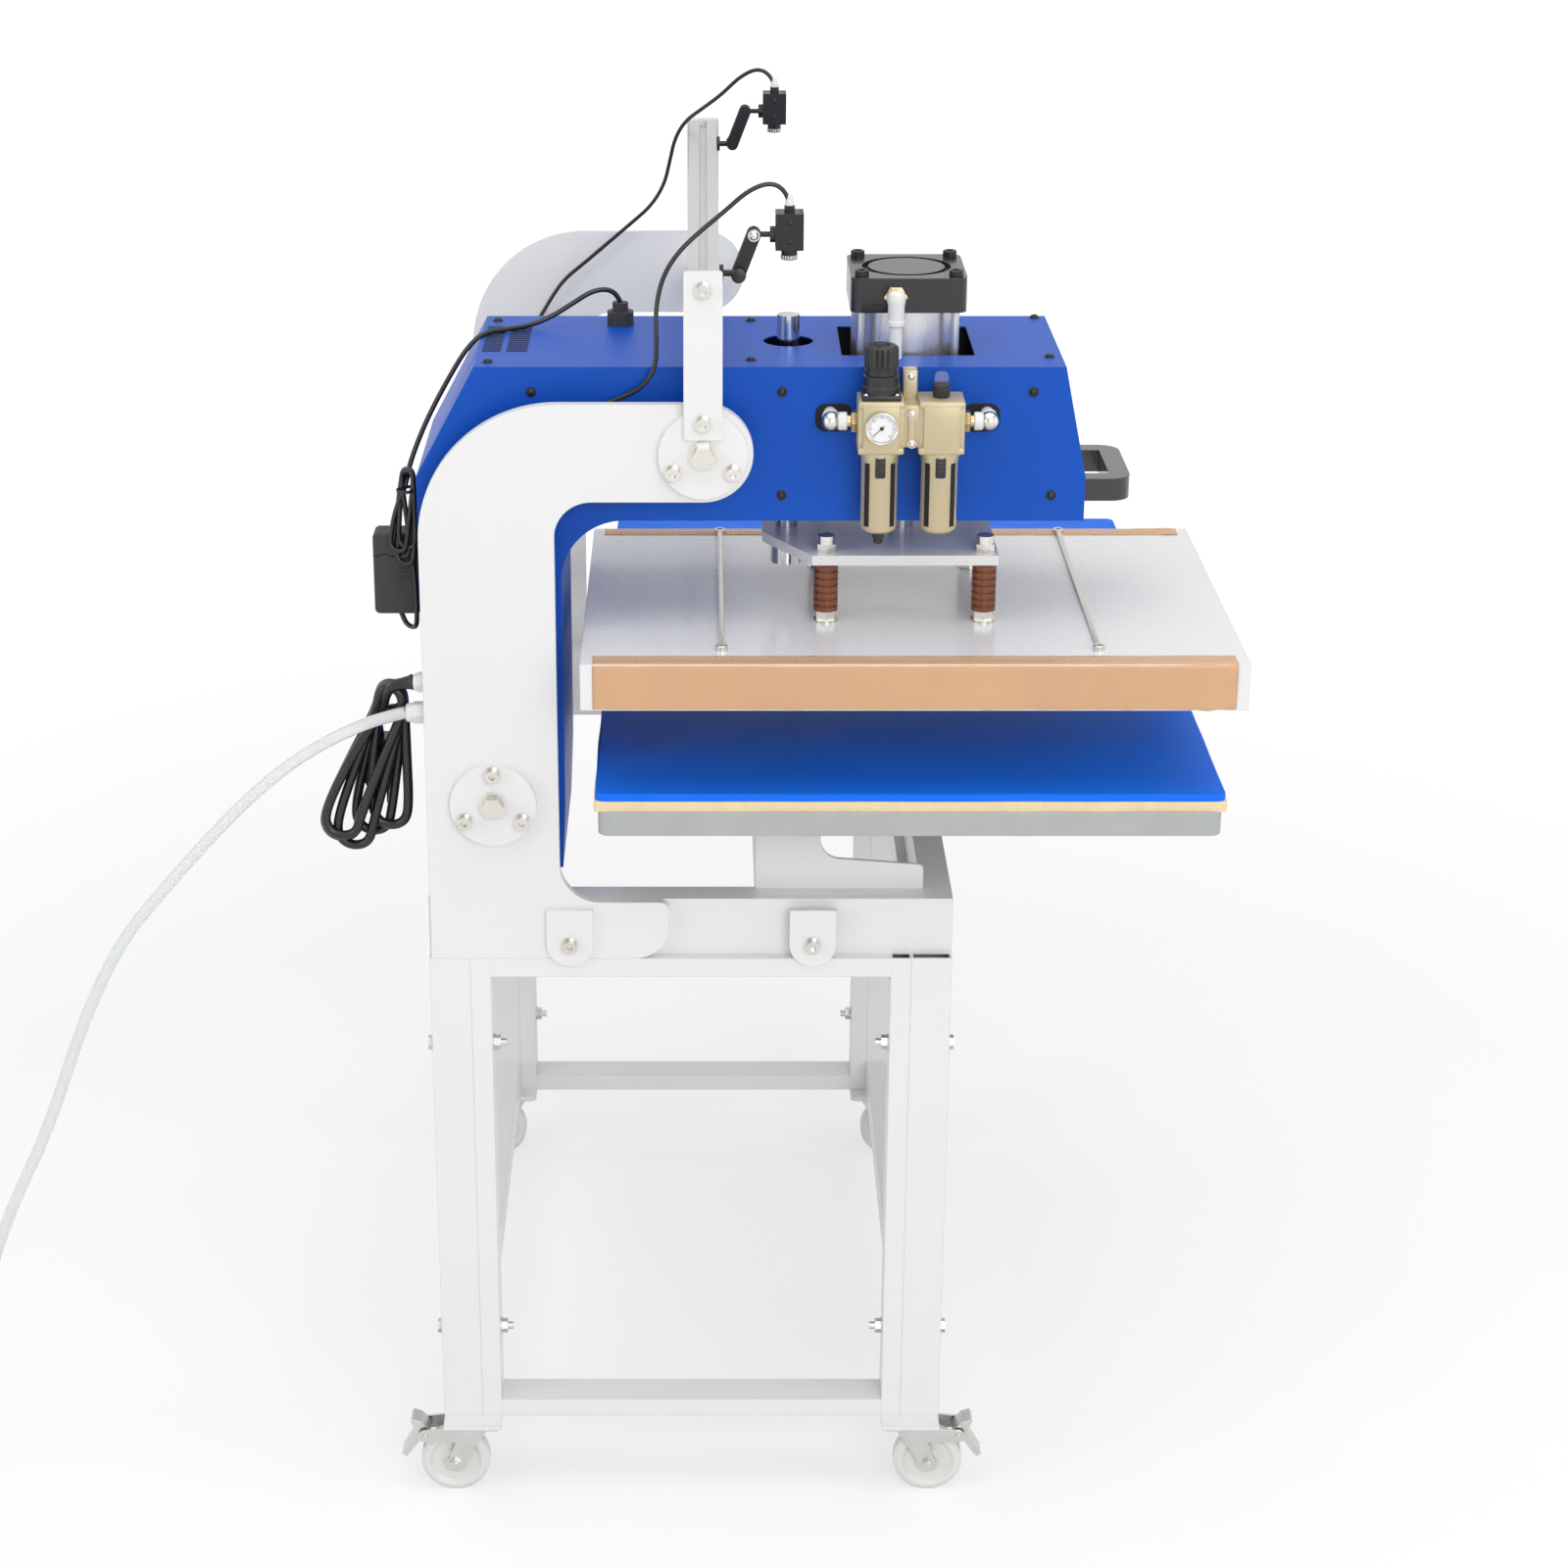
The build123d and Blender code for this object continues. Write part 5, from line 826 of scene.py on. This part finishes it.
for name, y in (("regulator", REGULATOR_Y), ("lubricator", LUBRICATOR_Y)):
    shape = turned([(0, 1.1345), (0.0172, 1.1345), (0.0175, 1.132), (0.0175, 1.128),
                    (0.0170, 1.127), (0.0170, 1.066), (0.0160, 1.0618), (0.0125, 1.0595),
                    (0.0080, 1.0590), (0, 1.0590)], 64)
    finished(f"{name}_guard", shape, AIR_BEIGE, "head", (AIR_X, y, 0))
    shape = bmesh.new()
    for angle in (135, 225, 45, 315):
        slit = bmesh.new()
        block((0.0016, 0.0060, 0.062), 0.0007, 2, (0.0166, 0, 1.0975), slit)
        slit.transform(Matrix.Rotation(radians(angle), 4, "Z"))
        made = bpy.data.meshes.new("slit")
        slit.to_mesh(made)
        slit.free()
        shape.from_mesh(made)
        bpy.data.meshes.remove(made)
    # The guard's slits are dark blocks: painted shade where the openings are.
    finished(f"{name}_slots", shape, OPENING_SHADE_AND_SEAM, "head", (AIR_X, y, 0))
    shape = block((0.0050, 0.0095, 0.0215), 0.0016, 3)
    for lift in (0.004, 0.000, -0.004):
        block((0.0056, 0.0060, 0.0012), 0.0004, 1, (0, 0, lift), shape)
    finished(f"{name}_lock", shape, BLACK_PLASTIC, "head", (AIR_X - 0.0168, y, 1.1255))
finished("drain_screw", turned([(0, 0.012), (0.0075, 0.012), (0.0075, 0.0105), (0.0055, 0.010),
                                (0.0055, 0.006), (0.0046, 0.0055), (0.0046, 0.0015),
                                (0.0034, 0.0), (0, 0)]), BLACK_PLASTIC, "head",
         (AIR_X, REGULATOR_Y, 1.047))
shape = block((0.0360, 0.0360, 0.0050), 0.0012, 2, (0, 0, BLOCK_HIGH + 0.0025))
turned([(0, 1.2098), (0.0150, 1.2098), (0.0166, 1.2085), (0.0166, 1.2000), (0.0176, 1.1990),
        (0.0176, 1.1925), (0, 1.1925)], shape=shape)
finished("regulator_bonnet", shape, BLACK_PLASTIC, "head", (AIR_X, REGULATOR_Y, 0))
for end, side_x in (("near", -1), ("far", 1)):
    for row, side_y in (("rear", 1), ("front", -1)):
        finished(f"bonnet_screw_{end}_{row}", pan_head(0.0019), SCREW, "head",
                 (AIR_X + side_x * 0.0142, REGULATOR_Y + side_y * 0.0142, BLOCK_HIGH + 0.0056))
shape = turned([(0, KNOB_HIGH.z - 0.0016), (0.0075, KNOB_HIGH.z - 0.0016),
                (0.0085, KNOB_HIGH.z - 0.0003), (0.0130, KNOB_HIGH.z - 0.0002),
                (0.0153, KNOB_HIGH.z - 0.0018), (0.0159, KNOB_HIGH.z - 0.0045),
                (0.0159, KNOB_LOW.z + 0.0070), (0.0148, KNOB_LOW.z + 0.0062),
                (0.0148, KNOB_LOW.z + 0.0046), (0.0156, KNOB_LOW.z + 0.0040),
                (0.0156, KNOB_LOW.z), (0, KNOB_LOW.z)], 144)
KNOB_FLUTES, FLUTE_SHARE = 18, 0.085
for vert in shape.verts:
    reach = Vector((vert.co.x, vert.co.y)).length
    if reach > 0.0150 and vert.co.z > KNOB_LOW.z + 0.0065:
        angle = Vector((1, 0)).angle_signed(Vector((vert.co.x, vert.co.y)))
        squeeze = 1 - FLUTE_SHARE * max(0.0, cos(KNOB_FLUTES * angle)) ** 2
        vert.co.x *= squeeze
        vert.co.y *= squeeze
knob = finished("fluted_knob", shape, BLACK_PLASTIC, "regulator_knob", (AIR_X, REGULATOR_Y, 0))
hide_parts("regulator_knob")
gauge_at = (AIR_X - BLOCK / 2, REGULATOR_Y, PORT_Z)
shape = turned([(0, 0), (0.0125, 0), (0.0125, 0.0015), (0.0153, 0.0025), (0.0155, 0.0075),
                (0.0151, 0.0087), (0.0142, 0.0090), (0.0133, 0.0084), (0.0131, 0.0062),
                (0, 0.0062)], 64)
finished("gauge_case", shape, SCREW, "head", gauge_at, (-1, 0, 0))
finished("gauge_dial", turned([(0, 0.0066), (0.0130, 0.0066), (0.0130, 0.0061)], 64), DIAL,
         "head", gauge_at, (-1, 0, 0))
shape = bmesh.new()
GAUGE_TICKS, TICK_TURN, LONG_TICK_EVERY = 31, 9, 5
for step in range(GAUGE_TICKS):
    angle = radians(225 - TICK_TURN * step)
    long = 0.0014 if step % LONG_TICK_EVERY else 0.0026
    tick = bmesh.ops.create_cube(shape, size=1.0)["verts"]
    bmesh.ops.scale(shape, vec=(long, 0.0003 if step % LONG_TICK_EVERY else 0.0005, 0.0002),
                    verts=tick)
    bmesh.ops.translate(shape, vec=(0.0118 - long / 2, 0, 0.0067), verts=tick)
    bmesh.ops.rotate(shape, matrix=Matrix.Rotation(angle, 3, "Z"), verts=tick)
turned([(0, 0.0078), (0.0016, 0.0078), (0.0018, 0.0070), (0.0018, 0.0066), (0, 0.0066)], 24, shape)
finished("gauge_marks", shape, BLACK_METAL, "head", gauge_at, (-1, 0, 0))
shape = block((0.0130, 0.0007, 0.0004), 0.0001, 1, (0.0030, 0, 0.0074))
shape.transform(Matrix.Rotation(radians(222), 4, "Z"))
finished("gauge_needle", shape, RED, "head", gauge_at, (-1, 0, 0))
finished("sight_cap", knurled(0.0080, 0.0130, 20), BLACK_PLASTIC, "head",
         (AIR_X, LUBRICATOR_Y, BLOCK_HIGH))
finished("sight_dome", turned([(0, 0.0), (0.0066, 0.0), (0.0066, 0.0060), (0.0058, 0.0088),
                               (0.0036, 0.0105), (0, 0.0110)]), LENS, "head",
         (AIR_X, LUBRICATOR_Y, BLOCK_HIGH + 0.0130))
BALL = 0.0092
for name, y, out in (("inlet", REGULATOR_Y, 1), ("outlet", LUBRICATOR_Y, -1)):
    face_y = y + out * BLOCK / 2
    finished(f"{name}_neck", turned([(0, 0), (0.0088, 0, 6), (0.0092, 0.0008, 6),
                                     (0.0092, 0.0052, 6), (0.0080, 0.0062), (0.0058, 0.0062),
                                     (0.0058, 0.0110), (0, 0.0110)]), BRASS, "head",
             (AIR_X, face_y, PORT_Z), (0, out, 0))
    finished(f"{name}_collar", turned([(0, 0.0095), (0.0078, 0.0095), (0.0085, 0.0105),
                                       (0.0085, 0.0165), (0.0075, 0.0178), (0, 0.0178)]), NYLON,
             "head", (AIR_X, face_y, PORT_Z), (0, out, 0))
    ball = [(BALL * sin(pi * step / 12), -BALL * cos(pi * step / 12)) for step in range(13)]
    ball[0], ball[-1] = (0, -BALL), (0, BALL)
    finished(f"{name}_ball", turned(ball), SCREW, "head", (AIR_X, face_y + out * 0.024, PORT_Z),
             (1, 0, 0))
    finished(f"{name}_stem", turned([(0, 0.006), (0.0075, 0.006), (0.0082, 0.0075),
                                     (0.0082, 0.0150), (0.0062, 0.0160), (0.0062, 0.0290),
                                     (0, 0.0290)]), NYLON, "head",
             (AIR_X, face_y + out * 0.024, PORT_Z), (1, 0, 0))

# Laser pointers: thumb screws, lens rings, side screws and cable boots
LASER_X, LASER_Y = 0.340, 0.01402
LASER_CAP_Z, LENS_Z = 1.3552, 1.3056
ARM_LOW_PIVOT, ARM_HIGH_PIVOT = (0.061, 1.292), (0.04702, 1.32841)
for end, x in (("near", -LASER_X), ("far", LASER_X)):
    arm_low, arm_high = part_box(f"{end}_laser_arm")
    out = -1 if x - arm_low.x > arm_high.x - x else 1
    face = arm_low.x if out < 0 else arm_high.x
    finished(f"{end}_arm_thumb", knurled(0.0072, 0.0060), BLACK_PLASTIC, f"{end}_laser_arm",
             (face, *ARM_LOW_PIVOT), (out, 0, 0))
    finished(f"{end}_arm_screw", pan_head(0.0042), SCREW, f"{end}_laser_arm",
             (face + out * 0.0002, *ARM_HIGH_PIVOT), (out, 0, 0))
    finished(f"{end}_lens_ring", knurled(0.0080, 0.0042, 18), SCREW, f"{end}_laser",
             (x, LASER_Y, LENS_Z))
    finished(f"{end}_lens", turned([(0, 0), (0.0045, 0), (0.0045, 0.0004), (0.0066, 0.0004),
                                    (0.0068, -0.0010), (0, -0.0010)]), SCREW, f"{end}_laser",
             (x, LASER_Y, LENS_Z - 0.0001), (0, 0, -1))
    for row, z in (("high", 1.3415), ("low", 1.3235)):
        finished(f"{end}_laser_screw_{row}", pan_head(0.0022), BLACK_METAL, f"{end}_laser",
                 (x - 0.0135, LASER_Y, z), (-1, 0, 0))
    finished(f"{end}_boot", turned([(0, 0.0100), (0.0024, 0.0100), (0.0028, 0.0092),
                                    (0.0028, 0.0078), (0.0034, 0.0072), (0.0034, 0.0054),
                                    (0.0040, 0.0048), (0.0044, 0), (0, 0)]), NYLON,
             f"{end}_laser",
             (x, LASER_Y, LASER_CAP_Z))

# Mains hank: tie, plug ribs
shape = turned([(0.0128, 0), (0.0140, 0.0002), (0.0140, 0.0043), (0.0128, 0.0045), (0.0124, 0.0043),
                (0.0124, 0.0002), (0.0128, 0)], 64)
bmesh.ops.scale(shape, vec=(1, 1.42, 1), verts=shape.verts)
block((0.0065, 0.0060, 0.0072), 0.0010, 2, (-0.0145, -0.006, 0.0022), shape)
block((0.0260, 0.0010, 0.0042), 0.0004, 1, (-0.0220, -0.0055, 0.0022), shape)
finished("mains_tie", shape, BLACK_PLASTIC, "stand", (-0.3585, 0.3975, 0.862),
         (0.05, 0.12, 1))
shape = bmesh.new()
PLUG_RIB_PITCH = 0.0055
for step in range(5):
    for y in (0.3968, 0.4272):
        block((0.0250, 0.0012, 0.0016), 0.0005, 2, (-0.332, y, 0.793 + PLUG_RIB_PITCH * step),
              shape)
finished("plug_ribs", shape, BLACK_PLASTIC, "stand")

# Adapter: ribs on its near face, split line, bundle tie
RIB_GROWTH, RIB_PITCH = 0.0042, 0.0040
shape = bmesh.new()
for step in range(6):
    block((0.0012, 0.0040 + RIB_GROWTH * step, 0.0016), 0.0005, 2,
          (-0.3401, 0.3888, 0.9850 + RIB_PITCH * step), shape)
finished("adapter_ribs", shape, ADAPTER, "head")
line_piece("adapter_split", [(-0.3402, 0.3665 + 0.0445 * step / 12,
                              1.018 + 0.0016 * sin(tau * step / 4)) for step in range(13)],
           0.0005, OPENING_SHADE_AND_SEAM, "head", 2)
shape = turned([(0.0098, 0), (0.0106, 0.0002), (0.0106, 0.0032), (0.0098, 0.0034), (0.0095, 0.0032),
                (0.0095, 0.0002), (0.0098, 0)], 40)
finished("bundle_tie", shape, BLACK_PLASTIC, "head", (-0.3480, 0.3750, 1.084), (0, 0.1, 1))

# Casters: hub rings
for corner in CORNERS:
    wheel_low, wheel_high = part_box(f"caster_wheel_{corner}")
    wheel_y = (wheel_low.y + wheel_high.y) / 2
    wheel_z = (wheel_low.z + wheel_high.z) / 2
    for face, x, out in (("near", wheel_low.x, -1), ("far", wheel_high.x, 1)):
        finished(f"hub_{corner}_{face}", turned([(0.0120, 0), (0.0118, 0.0006), (0.0100, 0.0009),
                                                 (0.0085, 0.0009), (0.0085, 0)]), ZINC,
                 f"wheel_{corner}", (x, wheel_y, wheel_z), (out, 0, 0))
